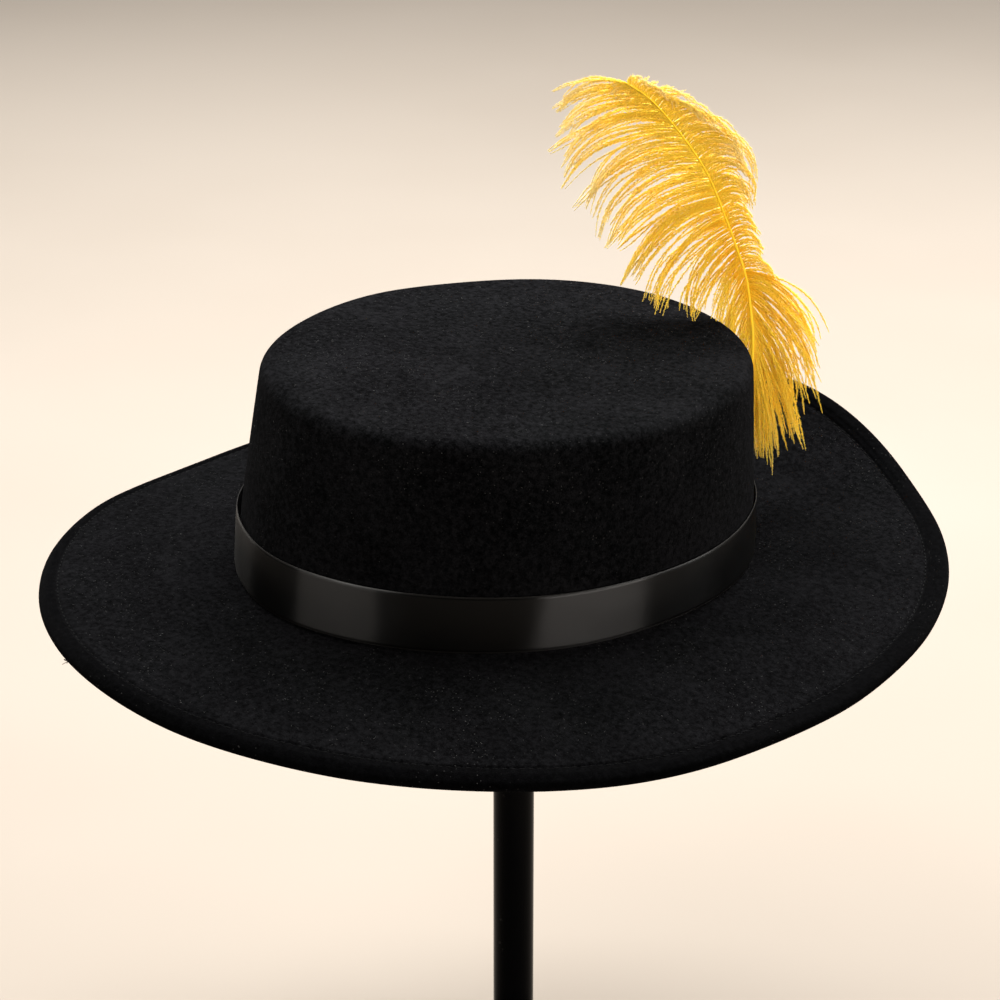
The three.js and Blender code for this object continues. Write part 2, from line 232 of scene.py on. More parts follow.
def frame_at(point: np.ndarray, ahead: np.ndarray, up: np.ndarray) -> Matrix:
    """A matrix that puts X along ahead and Z near up, at a point."""
    forward = Vector(ahead).normalized()
    side = Vector(up).cross(forward).normalized()
    turn = Matrix((forward, side, forward.cross(side))).transposed()
    return Matrix.Translation(Vector(point)) @ turn.to_4x4()


def laid(point: np.ndarray, ahead: np.ndarray, up: np.ndarray, length: float, thickness: float) -> Matrix:
    """A matrix that lays a shape of size 1 along ahead, with a length and a thickness of its own."""
    return frame_at(point, ahead, up) @ Matrix.Diagonal((length, thickness, thickness, 1))


def give(
    piece: bpy.types.Object,
    finish: bpy.types.Material,
    nodes: Iterable[str] = (),
) -> None:
    """Gives a piece its finish and joins it to the frame.

    Args:
        piece: the finished mesh object.
        finish: its material.
        nodes: the CAD nodes that the piece stands for.
    """
    piece.data.materials.clear()
    piece.data.materials.append(finish)
    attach(piece, BODY)
    for node in nodes:
        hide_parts(node)
    LOG.info("%s: %d faces", piece.name, len(piece.data.polygons))


class Shading:
    """Adds nodes to one node tree and joins their sockets."""

    def __init__(self, tree: bpy.types.NodeTree) -> None:
        """Keeps the tree that the nodes go to."""
        self.tree = tree

    def add(
        self, kind: str, inputs: dict[str | int, object] | None = None, **settings: object
    ) -> bpy.types.Node:
        """A new node.

        Args:
            kind: the node's type, without the word ShaderNode in front.
            inputs: a value or a socket for each named or numbered input.
            **settings: the node's own settings.

        Returns:
            The node.
        """
        node = self.tree.nodes.new("ShaderNode" + kind)
        for name, value in settings.items():
            setattr(node, name, value)
        self.fill(node, inputs or {})
        return node

    def fill(self, node: bpy.types.Node, inputs: dict[str | int, object]) -> None:
        """Sets or links the inputs of a node."""
        for name, value in inputs.items():
            if isinstance(value, bpy.types.NodeSocket):
                self.tree.links.new(value, node.inputs[name])
            else:
                node.inputs[name].default_value = value

    def math(self, operation: str, *values: object) -> bpy.types.NodeSocket:
        """The result of a Math node."""
        return self.add("Math", dict(enumerate(values)), operation=operation).outputs[0]

    def mix(self, share: object, first: object, second: object) -> bpy.types.NodeSocket:
        """A colour between two colours."""
        return self.add("Mix", {0: share, 6: first, 7: second}, data_type="RGBA").outputs[2]

    def ramp(self, value: bpy.types.NodeSocket, low: float, high: float) -> bpy.types.NodeSocket:
        """A value brought from between low and high to between 0 and 1, smoothly."""
        ends = {"Value": value, "From Min": low, "From Max": high}
        return self.add("MapRange", ends, interpolation_type="SMOOTHSTEP").outputs["Result"]

    def place(self) -> bpy.types.NodeSocket:
        """The Object coordinates."""
        return self.add("TexCoord").outputs["Object"]

    def noise(self, place: bpy.types.NodeSocket, grain: float, detail: float = 3.0) -> bpy.types.NodeSocket:
        """Noise whose grains are about that many metres across."""
        inputs = {"Vector": place, "Scale": 1 / grain, "Detail": detail}
        return self.add("TexNoise", inputs).outputs["Fac"]

    def bump(self, height: bpy.types.NodeSocket, distance: float) -> bpy.types.NodeSocket:
        """The normal over a height, whose full depth is a distance in metres."""
        return self.add("Bump", {"Height": height, "Distance": distance, "Strength": 1.0}).outputs["Normal"]

    def shared(self, group: bpy.types.NodeTree, inputs: dict[str, object]) -> bpy.types.Node:
        """A node of a shared group, with its inputs set or linked."""
        node = self.tree.nodes.new("ShaderNodeGroup")
        node.node_tree = group
        self.fill(node, inputs)
        return node


def node_group(name: str, inputs: dict[str, float], outputs: Iterable[str]) -> Shading:
    """An empty shader node group whose sockets are values.

    Args:
        name: the group's name.
        inputs: each input and its value. An input named Vector goes in front of them.
        outputs: each output.

    Returns:
        The Shading that fills the group.
    """
    group = bpy.data.node_groups.new(name, "ShaderNodeTree")
    group.interface.new_socket("Vector", in_out="INPUT", socket_type="NodeSocketVector")
    for label, value in inputs.items():
        socket = group.interface.new_socket(label, in_out="INPUT", socket_type="NodeSocketFloat")
        socket.default_value = value
    for label in outputs:
        group.interface.new_socket(label, in_out="OUTPUT", socket_type="NodeSocketFloat")
    return Shading(group)


@dataclass(frozen=True)
class SharedEffects:
    """Node groups that more than one finish uses."""

    specks: bpy.types.NodeTree
    fibres: bpy.types.NodeTree

    @classmethod
    def make(cls) -> "SharedEffects":
        """Both groups, filled."""
        return cls(specks=cls.make_specks(), fibres=cls.make_fibres())

    @staticmethod
    def make_specks() -> bpy.types.NodeTree:
        """Small scattered specks, such as lint or dust, in loose clouds.

        Returns:
            A group with inputs Vector, Size and Amount, and the output Mask.
        """
        shading = node_group("specks", {"Size": 0.002, "Amount": 0.3}, ["Mask"])
        given = shading.tree.nodes.new("NodeGroupInput").outputs
        scale = shading.math("DIVIDE", 1.0, given["Size"])
        cells = shading.add("TexVoronoi", {"Vector": given["Vector"], "Scale": scale})
        kept = shading.math("LESS_THAN", cells.outputs["Color"], given["Amount"])
        near = shading.math("SUBTRACT", 1.0, shading.ramp(cells.outputs["Distance"], 0.06, 0.2))
        clouds = shading.ramp(shading.noise(given["Vector"], 0.035, 2.0), 0.42, 0.62)
        mask = shading.math("MULTIPLY", shading.math("MULTIPLY", near, kept), clouds)
        shading.fill(shading.tree.nodes.new("NodeGroupOutput"), {"Mask": mask})
        return shading.tree

    @staticmethod
    def make_fibres() -> bpy.types.NodeTree:
        """Matted short fibres: a fine uneven height and a broad mottle.

        Returns:
            A group with inputs Vector and Grain, and the outputs Height and Mottle.
        """
        shading = node_group("matted_fibres", {"Grain": 0.0006}, ["Height", "Mottle"])
        given = shading.tree.nodes.new("NodeGroupInput").outputs
        scale = shading.math("DIVIDE", 1.0, given["Grain"])
        threads = {"Vector": given["Vector"], "Scale": scale, "Detail": 3.0, "Distortion": 1.2}
        fine = shading.add("TexNoise", threads).outputs["Fac"]
        tufts = {"Vector": given["Vector"], "Scale": shading.math("MULTIPLY", scale, 0.3), "Detail": 4.0}
        coarse = shading.math("MULTIPLY", shading.add("TexNoise", tufts).outputs["Fac"], 0.5)
        broad = shading.math("MULTIPLY", shading.noise(given["Vector"], 0.03, 4.0), 0.5)
        sockets = {"Height": shading.math("ADD", fine, coarse), "Mottle": shading.math("ADD", coarse, broad)}
        shading.fill(shading.tree.nodes.new("NodeGroupOutput"), sockets)
        return shading.tree


def new_material(name: str) -> tuple[bpy.types.Material, Shading, bpy.types.Node]:
    """A material with its Principled shader.

    Args:
        name: the material's name.

    Returns:
        The material, the Shading that adds its nodes, and the shader.
    """
    material = bpy.data.materials.new(name)
    material.use_nodes = True
    tree = material.node_tree
    return material, Shading(tree), tree.nodes["Principled BSDF"]


@dataclass(frozen=True)
class WoolFelt:
    """Black wool felt: matt, softly mottled, with a short nap and scattered lint, and painted shade that
    darkens the brim and most of all the hem.
    """

    black: tuple[float, ...] = (0.0008, 0.0008, 0.0009, 1)
    worn: tuple[float, ...] = (0.0095, 0.0095, 0.0105, 1)
    # Colour of the painted shade on the brim and the hem.
    pressed: tuple[float, ...] = (0.0006, 0.0006, 0.0007, 1)
    lint: tuple[float, ...] = (0.045, 0.044, 0.043, 1)
    worn_between: tuple[float, float] = (0.5, 0.98)
    nap_share: float = 0.6
    mottle_share: float = 0.5
    shade_strength: float = 0.8
    grain: float = 0.0006
    nap_height: float = 0.00025
    lint_spacing: float = 0.0013
    lint_share: float = 0.4

    def material(self, effects: SharedEffects) -> bpy.types.Material:
        """The felt's material."""
        material, shading, shader = new_material("wool_felt")
        place = shading.place()
        fibres = shading.shared(effects.fibres, {"Vector": place, "Grain": self.grain}).outputs
        specks = {"Vector": place, "Size": self.lint_spacing, "Amount": self.lint_share}
        lint = shading.shared(effects.specks, specks).outputs["Mask"]
        mottle = shading.math("MULTIPLY", fibres["Mottle"], self.mottle_share)
        tangle = shading.math("MULTIPLY_ADD", fibres["Height"], self.nap_share, mottle)
        wool = shading.mix(shading.ramp(tangle, *self.worn_between), self.black, self.worn)
        # Painted shade: the felt is darkened by its painted shade attribute, a little on the brim and most on
        # the hem.
        flat = shading.add("Attribute", attribute_name=FeltHat.PAINTED_SHADE_NAME).outputs["Fac"]
        wool = shading.mix(shading.math("MULTIPLY", flat, self.shade_strength), wool, self.pressed)
        shading.fill(shader, {
            "Base Color": shading.mix(lint, wool, self.lint),
            "Normal": shading.bump(fibres["Height"], self.nap_height),
            "Roughness": 0.95,
            "Specular IOR Level": 0.0,
            "Sheen Weight": 0.008,
            "Sheen Roughness": 0.5,
        })
        return material


@dataclass(frozen=True)
class Thread:
    """Black sewing thread."""

    name: str = "black_thread"
    black: tuple[float, ...] = (0.0006, 0.0006, 0.0006, 1)
    faded: tuple[float, ...] = (0.0022, 0.0021, 0.0021, 1)
    faded_between: tuple[float, float] = (0.3, 0.7)
    twist: float = 0.0003
    depth: float = 0.00006

    def material(self, effects: SharedEffects) -> bpy.types.Material:
        """The thread's material."""
        material, shading, shader = new_material(self.name)
        fibres = shading.shared(effects.fibres, {"Vector": shading.place(), "Grain": self.twist}).outputs
        shading.fill(shader, {
            "Base Color": shading.mix(
                shading.ramp(fibres["Mottle"], *self.faded_between), self.black, self.faded
            ),
            "Normal": shading.bump(fibres["Height"], self.depth),
            "Roughness": 0.7,
            "Specular IOR Level": 0.05,
        })
        return material


@dataclass(frozen=True)
class RibbonThread(Thread):
    """The ribbon's black thread, on the loops along its edges and on the rims of the cloth, paler than sewing
    thread as a painted highlight.
    """

    name: str = "ribbon_thread_highlight"
    # Thread colours raised as a painted highlight on the ribbon's edges.
    black: tuple[float, ...] = (0.012, 0.0115, 0.011, 1)
    faded: tuple[float, ...] = (0.05, 0.047, 0.044, 1)


@dataclass(frozen=True)
class Satin:
    """Black satin: threads along the ribbon draw each highlight out across its width; a painted highlight
    lightens both edges.
    """

    black: tuple[float, ...] = (0.0006, 0.0006, 0.0006, 1)
    worn: tuple[float, ...] = (0.0016, 0.0015, 0.0014, 1)
    # Colour of the painted highlight along both edges.
    edge: tuple[float, ...] = (0.01, 0.0094, 0.0088, 1)
    worn_between: tuple[float, float] = (0.3, 0.75)
    edge_width: float = 0.0005
    edge_blur: float = 0.0001
    thread: float = 0.00022
    float_length: float = 0.006
    depth: float = 0.000008
    patch: float = 0.002
    gloss: float = 0.28
    duller: float = 0.03

    def material(self, effects: SharedEffects) -> bpy.types.Material:
        """The satin's material, on the ribbon's own UV map in metres."""
        material, shading, shader = new_material("black_satin_weave")
        along = shading.add("UVMap", uv_map=SatinRibbon.UV_NAME).outputs["UV"]
        stretch = {"Vector": along, "Scale": (self.thread / self.float_length, 1.0, 1.0)}
        floats = shading.noise(shading.add("Mapping", stretch).outputs["Vector"], self.thread, 2.0)
        fibres = shading.shared(effects.fibres, {"Vector": shading.place(), "Grain": self.patch}).outputs
        uneven = shading.ramp(fibres["Mottle"], *self.worn_between)
        tangent = shading.add("Tangent", direction_type="UV_MAP", uv_map=SatinRibbon.UV_NAME)
        # Painted highlight: a lighter colour along both edges of the ribbon.
        height = shading.add("SeparateXYZ", {"Vector": along}).outputs["Y"]
        middle = shading.math("ABSOLUTE", shading.math("SUBTRACT", height, SatinRibbon.width / 2))
        inner = SatinRibbon.width / 2 - self.edge_width
        edge_highlight = shading.ramp(middle, inner - self.edge_blur, inner + self.edge_blur)
        satin = shading.mix(uneven, self.black, self.worn)
        shading.fill(shader, {
            "Base Color": shading.mix(edge_highlight, satin, self.edge),
            "Roughness": shading.math("MULTIPLY_ADD", uneven, self.duller, self.gloss),
            "Normal": shading.bump(floats, self.depth),
            "Tangent": tangent.outputs["Tangent"],
            "Anisotropic": 1.0,
            "Anisotropic Rotation": 0.25,
            "Specular IOR Level": 0.34,
        })
        return material


@dataclass(frozen=True)
class DyedFeather:
    """Dyed ostrich: deep yellow at the roots of the barbs, partly dye and partly painted shade where they
    crowd, and pale at their thin tips.
    """

    # Deep orange of the roots: partly dye, partly painted shade.
    deep_dye_and_shade: tuple[float, ...] = (0.96, 0.42, 0.003, 1)
    golden: tuple[float, ...] = (1.0, 0.65, 0.04, 1)
    pale: tuple[float, ...] = (0.9, 0.68, 0.22, 1)
    golden_between: tuple[float, float] = (0.0, 0.55)
    pale_between: tuple[float, float] = (0.7, 1.15)
    out_share: float = 0.5
    tone_share: float = 0.6
    cloud_share: float = 0.2
    blotch: float = 0.012
    grain: float = 0.0004

    def material(self, effects: SharedEffects) -> bpy.types.Material:
        """The plume's material, on the attributes that each barb carries."""
        material, shading, shader = new_material("dyed_ostrich")
        out = shading.add("Attribute", attribute_name=Barbs.OUT_NAME).outputs["Fac"]
        tone = shading.add("Attribute", attribute_name=Barbs.TONE_NAME).outputs["Fac"]
        cloudy = shading.noise(shading.place(), self.blotch, 2.0)
        out = shading.math("MULTIPLY", out, self.out_share)
        dye = shading.math("ADD", out, shading.math("MULTIPLY", tone, self.tone_share))
        cloudy = shading.math("MULTIPLY_ADD", cloudy, self.cloud_share, -self.cloud_share / 2)
        dye = shading.math("ADD", dye, cloudy)
        # Deep orange near the roots of the barbs: partly dye, partly painted shade.
        root = shading.mix(shading.ramp(dye, *self.golden_between), self.deep_dye_and_shade, self.golden)
        fibres = shading.shared(effects.fibres, {"Vector": shading.place(), "Grain": self.grain}).outputs
        shading.fill(shader, {
            "Base Color": shading.mix(shading.ramp(dye, *self.pale_between), root, self.pale),
            "Roughness": shading.math("MULTIPLY_ADD", fibres["Mottle"], 0.2, 0.6),
            "Specular IOR Level": 0.12,
            "Subsurface Weight": 0.3,
            "Subsurface Radius": (1.0, 0.6, 0.1),
            "Subsurface Scale": 0.002,
        })
        return material


@dataclass(frozen=True)
class Lacquer:
    """Gloss black lacquer on metal, with a fine orange peel and a little dust."""

    black: tuple[float, ...] = (0.0012, 0.0012, 0.0014, 1)
    dust: tuple[float, ...] = (0.02, 0.0195, 0.018, 1)
    dust_spacing: float = 0.004
    dust_share: float = 0.25
    peel: float = 0.004
    peel_depth: float = 0.00001
    haze: float = 0.02

    def material(self, effects: SharedEffects) -> bpy.types.Material:
        """The stand's material."""
        material, shading, shader = new_material("gloss_lacquer")
        place = shading.place()
        dust = {"Vector": place, "Size": self.dust_spacing, "Amount": self.dust_share}
        specks = shading.shared(effects.specks, dust).outputs["Mask"]
        peel = shading.noise(place, self.peel, 1.0)
        shading.fill(shader, {
            "Base Color": shading.mix(specks, self.black, self.dust),
            "Roughness": shading.math("MULTIPLY_ADD", shading.noise(place, self.haze), 0.1, 0.1),
            "Normal": shading.bump(peel, self.peel_depth),
            "Specular IOR Level": 0.03,
        })
        return material


@dataclass(frozen=True)
class Lint:
    """Pale lint that the felt has picked up."""

    grey: tuple[float, ...] = (0.02, 0.0195, 0.019, 1)
    white: tuple[float, ...] = (0.13, 0.127, 0.122, 1)
    white_between: tuple[float, float] = (0.4, 0.65)
    patch: float = 0.004

    def material(self) -> bpy.types.Material:
        """The lint's material."""
        material, shading, shader = new_material("pale_lint")
        shade = shading.ramp(shading.noise(shading.place(), self.patch, 1.0), *self.white_between)
        shading.fill(shader, {"Base Color": shading.mix(shade, self.grey, self.white), "Roughness": 0.9})
        return material


@dataclass(frozen=True)
class HatSeat:
    """How the hat sits on its stand."""

    height: float = 0.240
    shift: float = -0.006
    tilt: float = math.radians(2.2)
    toward: float = 43.0

    def matrix(self) -> Matrix:
        """From the hat's own frame to the row frame."""
        direction = Vector(level(self.toward))
        axis = Vector((-direction.y, direction.x, 0))
        foot = direction * self.shift + Vector((0, 0, self.height))
        return Matrix.Translation(foot) @ Matrix.Rotation(self.tilt, 4, axis)

    def seat(self, piece: bpy.types.Object) -> None:
        """Puts a piece's mesh in its place on the stand."""
        piece.data.transform(self.matrix())
        piece.data.update()


@dataclass(frozen=True)
class Blocking:
    """Slight unevenness that blocking by hand leaves, the same for all that is fixed to the felt."""

    depth: float = 0.0009
    length: float = 0.055

    def bend(self, points: np.ndarray) -> np.ndarray:
        """The points, each moved a little by a slow wave."""
        waves = [noise.noise_vector(Vector(point) / self.length) for point in points]
        return points + self.depth * np.array(waves)

    def settle(self, piece: bpy.types.Object) -> None:
        """Bends a piece's mesh with the felt."""
        move_corners(piece, self.bend(corners_of(piece)))


@dataclass(frozen=True)
class BrimRow:
    """Form of the brim towards one angle.

    Attributes:
        slope: the rise of the brim, as a share of the brim's full slope.
        roll: how far the hem is rolled down, as a share of the full roll.
    """

    slope: float
    roll: float


@dataclass(frozen=True)
class FeltHat:
    """The felt body: an oval crown and a wide brim with a folded, stitched hem, in one piece."""

    # Name of the attribute that carries the felt's painted shade.
    PAINTED_SHADE_NAME = "pressed"

    # Share of painted shade on the brim; the hem takes it in full.
    brim_shade: float = 0.4
    felt: float = 0.0025
    crown_half_width: float = 0.085
    crown_half_length: float = 0.1012
    top_half_width: float = 0.0816
    top_half_length: float = 0.0932
    crown_height: float = 0.0748
    crown_draw_in: float = 1.4
    crown_lean: float = 0.0014
    crown_lean_toward: float = 43.0
    top_edge_radius: float = 0.005
    top_dome: float = 0.0015
    brim_width: float = 0.072
    brim_slope: float = 23.0
    brim_bend: float = 1.3
    brim_foot_slope: float = 0.76
    break_radius: float = 0.0012
    hem_width: float = 0.008
    hem_thickness: float = 0.0046
    hem_roll: float = 45.0
    roll_bend: float = 0.6
    groove_width: float = 0.0014
    groove_depth: float = 0.0007
    groove_inset: float = 0.4
    groove_margin: float = 1.6
    foot_turn: float = 75.0
    top_rings: int = 22
    top_edge_rings: int = 12
    wall_rings: int = 20
    foot_rings: int = 6
    brim_rings: int = 26
    groove_rings: int = 9
    swell_rings: int = 5
    edge_rings: int = 15
    slope_steps: int = 40
    steps_round: int = 288
    brim_form: tuple[BrimRow, ...] = (
        BrimRow(-0.36, 0.0),
        BrimRow(-0.08, 0.0),
        BrimRow(0.24, 0.0),
        BrimRow(1.0, 0.0),
        BrimRow(0.62, 0.3),
        BrimRow(0.0, 0.8),
        BrimRow(-0.38, 1.0),
        BrimRow(-0.25, 1.0),
        BrimRow(-0.21, 1.0),
        BrimRow(-0.32, 1.0),
        BrimRow(-0.42, 0.8),
        BrimRow(-0.52, 0.35),
    )

    @property
    def seam(self) -> float:
        """Distance out along the brim of the hem's stitching."""
        return self.brim_width - self.hem_width

    def around(self, steps: int) -> np.ndarray:
        """Angles evenly spaced all the way round."""
        return np.linspace(0, FULL_TURN, steps, endpoint=False)

    def wall(self, angle: np.ndarray, height: float, grow: np.ndarray | float) -> np.ndarray:
        """Points on the crown's wall.

        Args:
            angle: the angle of each point round the oval.
            height: how high above the crown's foot.
            grow: how far outwards from the felt's outside.

        Returns:
            A row of x, y and z for each angle.
        """
        share = min(max(height / self.crown_height, 0.0), 1.0) ** self.crown_draw_in
        half_width = self.crown_half_width + share * (self.top_half_width - self.crown_half_width)
        half_length = self.crown_half_length + share * (self.top_half_length - self.crown_half_length)
        across, back = (half_width + grow) * np.cos(angle), (half_length + grow) * np.sin(angle)
        lean = share * self.crown_lean * level(self.crown_lean_toward)
        return np.stack([across, back, np.full_like(angle, height)], -1) + lean

    def slope(self, angle: np.ndarray, distance: float) -> np.ndarray:
        """The brim's slope in radians towards each angle, at a distance out along the felt."""
        place = (angle % FULL_TURN) / FULL_TURN * len(self.brim_form)
        edge = self.brim_slope * smooth_curve(column(self.brim_form, "slope"), place, closed=True)
        out = min(max(distance / self.brim_width, 0.0), 1.0)
        swept = edge * (self.brim_foot_slope + (1 - self.brim_foot_slope) * out**self.brim_bend)
        past = (distance - self.seam) / (self.hem_width - self.hem_thickness / 2)
        turned = smooth_curve(column(self.brim_form, "roll"), place, closed=True)
        turned = turned * min(max(past, 0.0), 1.0) ** self.roll_bend
        return np.radians(swept - self.hem_roll * turned)

    def brim(self, angle: np.ndarray, distance: float, lift: float) -> np.ndarray:
        """Points of the brim.

        Args:
            angle: the angle of each point round the hat.
            distance: how far out along the upper face.
            lift: how far above the upper face.

        Returns:
            A row of x, y and z for each angle.
        """
        end = min(distance, self.brim_width - self.hem_thickness / 2)
        step = end / self.slope_steps
        slopes = [self.slope(angle, (i + 0.5) * step) for i in range(self.slope_steps)]
        grow = step * np.sum(np.cos(slopes), 0)
        height = step * np.sum(np.sin(slopes), 0)
        last = self.slope(angle, end)
        past = distance - end
        points = self.wall(angle, 0.0, grow - np.sin(last) * lift + np.cos(last) * past)
        points[:, 2] = height + np.cos(last) * lift + np.sin(last) * past
        return points

    def brim_up(self, angle: np.ndarray, distance: float) -> np.ndarray:
        """Unit vectors off the brim's upper face."""
        return unit(self.brim(angle, distance, 0.001) - self.brim(angle, distance, 0.0))

    def crown_rings(self, side: Side, angle: np.ndarray) -> list[np.ndarray]:
        """Rings of one face of the crown, from the middle of its top down to the brim."""
        sink = self.felt * side.value
        edge = self.top_edge_radius - sink
        rings = []
        for share in np.linspace(0, 1, self.top_rings)[:-1]:
            ring = self.wall(angle, self.crown_height, -self.top_edge_radius) * share
            ring[:, 2] = self.crown_height - sink + self.top_dome * (1 - share**2)
            rings.append(ring)
        for turn in np.radians(np.linspace(90, 0, self.top_edge_rings)):
            grow = -self.top_edge_radius + edge * math.cos(turn)
            height = self.crown_height - self.top_edge_radius + edge * math.sin(turn)
            rings.append(self.wall(angle, height, grow))
        for share in np.linspace(1, 0, self.wall_rings)[1:-1]:
            straight = self.crown_height - self.top_edge_radius - self.break_radius
            rings.append(self.wall(angle, self.break_radius + share * straight, -sink))
        bend = self.break_radius + sink
        for turn in np.radians(np.linspace(0, self.foot_turn, self.foot_rings)):
            ring = self.wall(angle, 0.0, self.break_radius - bend * math.cos(turn))
            ring[:, 2] = self.break_radius - bend * math.sin(turn)
            rings.append(ring)
        return rings

    def brim_section(self) -> list[tuple[float, float]]:
        """Distance out and lift of each ring of the brim, over its top, round the hem and back below."""
        swell = (self.hem_thickness - self.felt) / 2
        end = self.brim_width - self.hem_thickness / 2
        plain_end = self.seam - self.groove_margin * self.groove_width
        over = [(distance, 0.0) for distance in np.linspace(self.break_radius, plain_end, self.brim_rings)]
        for share in np.linspace(-1, 1, self.groove_rings):
            depth = self.groove_depth * (1 + math.cos(math.pi * share)) / 2
            out = self.seam + (share - self.groove_inset) * self.groove_width
            over.append((out, swell * max(share, 0) / 3 - depth))
        for share in np.linspace(0.25, 1, self.swell_rings):
            rise = swell * math.sin(share * math.pi / 2)
            over.append((self.seam + self.groove_width + share * self.hem_width / 4, max(rise, swell / 3)))
        edge = []
        for turn in np.radians(np.linspace(90, -90, self.edge_rings)):
            out = end + self.hem_thickness / 2 * math.cos(turn)
            edge.append((out, self.hem_thickness / 2 * math.sin(turn) - self.felt / 2))
        under = [(distance, -self.felt - lift) for distance, lift in reversed(over)]
        return over + edge + under

    def surface(self) -> tuple[np.ndarray, np.ndarray]:
        """The felt's skin, from the middle of the top round to the middle inside.

        Returns:
            Every ring of points, and for each ring its share of painted shade: 1 on the hem, less on the brim
            and none on the crown.
        """
        angle = self.around(self.steps_round)
        section = self.brim_section()
        brim = [self.brim(angle, distance, lift) for distance, lift in section]
        outside = self.crown_rings(Side.OUTSIDE, angle)
        inside = self.crown_rings(Side.INSIDE, angle)
        # Painted shade: full past the seam, a share on the rest of the brim, none on the crown.
        pressed = [1.0 if distance > self.seam else self.brim_shade for distance, _ in section]
        pressed = [0.0] * len(outside) + pressed + [0.0] * len(inside)
        return np.array([*outside, *brim, *reversed(inside)]), np.array(pressed)

    def build(self) -> bpy.types.Object:
        """The felt body, as a sphere whose rows of points are moved to the rings of the skin."""
        rings, pressed = self.surface()
        last = len(rings) - 1
        shape = bmesh.new()
        bmesh.ops.create_uvsphere(shape, u_segments=self.steps_round, v_segments=last, radius=1)
        felt = bmesh_piece("felt_hat", shape)
        across, back, up = corners_of(felt).T
        row = np.rint(np.arccos(np.clip(up, -1, 1)) / math.pi * last).astype(int)
        step = np.rint(np.arctan2(back, across) / FULL_TURN * self.steps_round).astype(int) % self.steps_round
        move_corners(felt, rings[row, step])
        note_values(felt, self.PAINTED_SHADE_NAME, pressed[row])
        return felt


@dataclass(frozen=True)
class HemStitching:
    """Two rows of black stitches along the hem's seam, with a loose end of thread."""

    hat: FeltHat
    pitch: float = 0.0029
    length: float = 0.0023
    thickness: float = 0.0005
    sunk: float = 0.3
    fine_steps: int = 2048
    loose_at: float = 252.0
    loose_inset: float = 0.0002
    loose_fan: float = 22.0
    loose_rise: float = 0.6
    loose_turn: float = 2.4
    loose_lengths: tuple[float, ...] = (0.0021, 0.0016, 0.0024, 0.0017, 0.0022, 0.0014, 0.0019)

    def row_places(self, lift: float) -> list[Matrix]:
        """A place for each stitch along the seam, at a height above the brim's upper face."""
        angle = self.hat.around(self.fine_steps)
        out = self.hat.seam - self.hat.groove_inset * self.hat.groove_width
        line = self.hat.brim(angle, out, lift)
        up = self.hat.brim_up(angle, out)
        stops, ahead = stops_along(line, self.pitch)
        return [laid(line[i], ahead[i], up[i], self.length, self.thickness) for i in stops]

    def build(self) -> bpy.types.Object:
        """All stitches, joined."""
        stitch = bmesh.new()
        bmesh.ops.create_uvsphere(stitch, u_segments=5, v_segments=5, radius=0.5)
        above = self.row_places(-self.hat.groove_depth + self.sunk * self.thickness)
        below = self.row_places(-self.hat.felt + self.hat.groove_depth - self.sunk * self.thickness)
        return joined_copies("hem_stitches", stitch, above + below)

    def build_loose_end(self) -> bpy.types.Object:
        """A tuft of short thread ends that stands off the hem's edge."""
        strand = bmesh.new()
        matrix = Matrix.Translation((0.5, 0, 0)) @ Matrix.Rotation(math.pi / 2, 4, "Y")
        bmesh.ops.create_cone(
            strand, cap_ends=True, segments=6, radius1=0.5, radius2=0.3, depth=1, matrix=matrix
        )
        angle = np.radians([self.loose_at])
        root = self.hat.brim(angle, self.hat.brim_width - self.loose_inset, -self.hat.felt / 2)[0]
        places = []
        for i, length in enumerate(self.loose_lengths):
            spread = level(self.loose_at + self.loose_fan * (i - len(self.loose_lengths) // 2))
            spread[2] = self.loose_rise * math.sin(self.loose_turn * i)
            places.append(laid(root, spread, np.array([0, 0, 1.0]), length, self.thickness / 2))
        return joined_copies("loose_thread", strand, places)


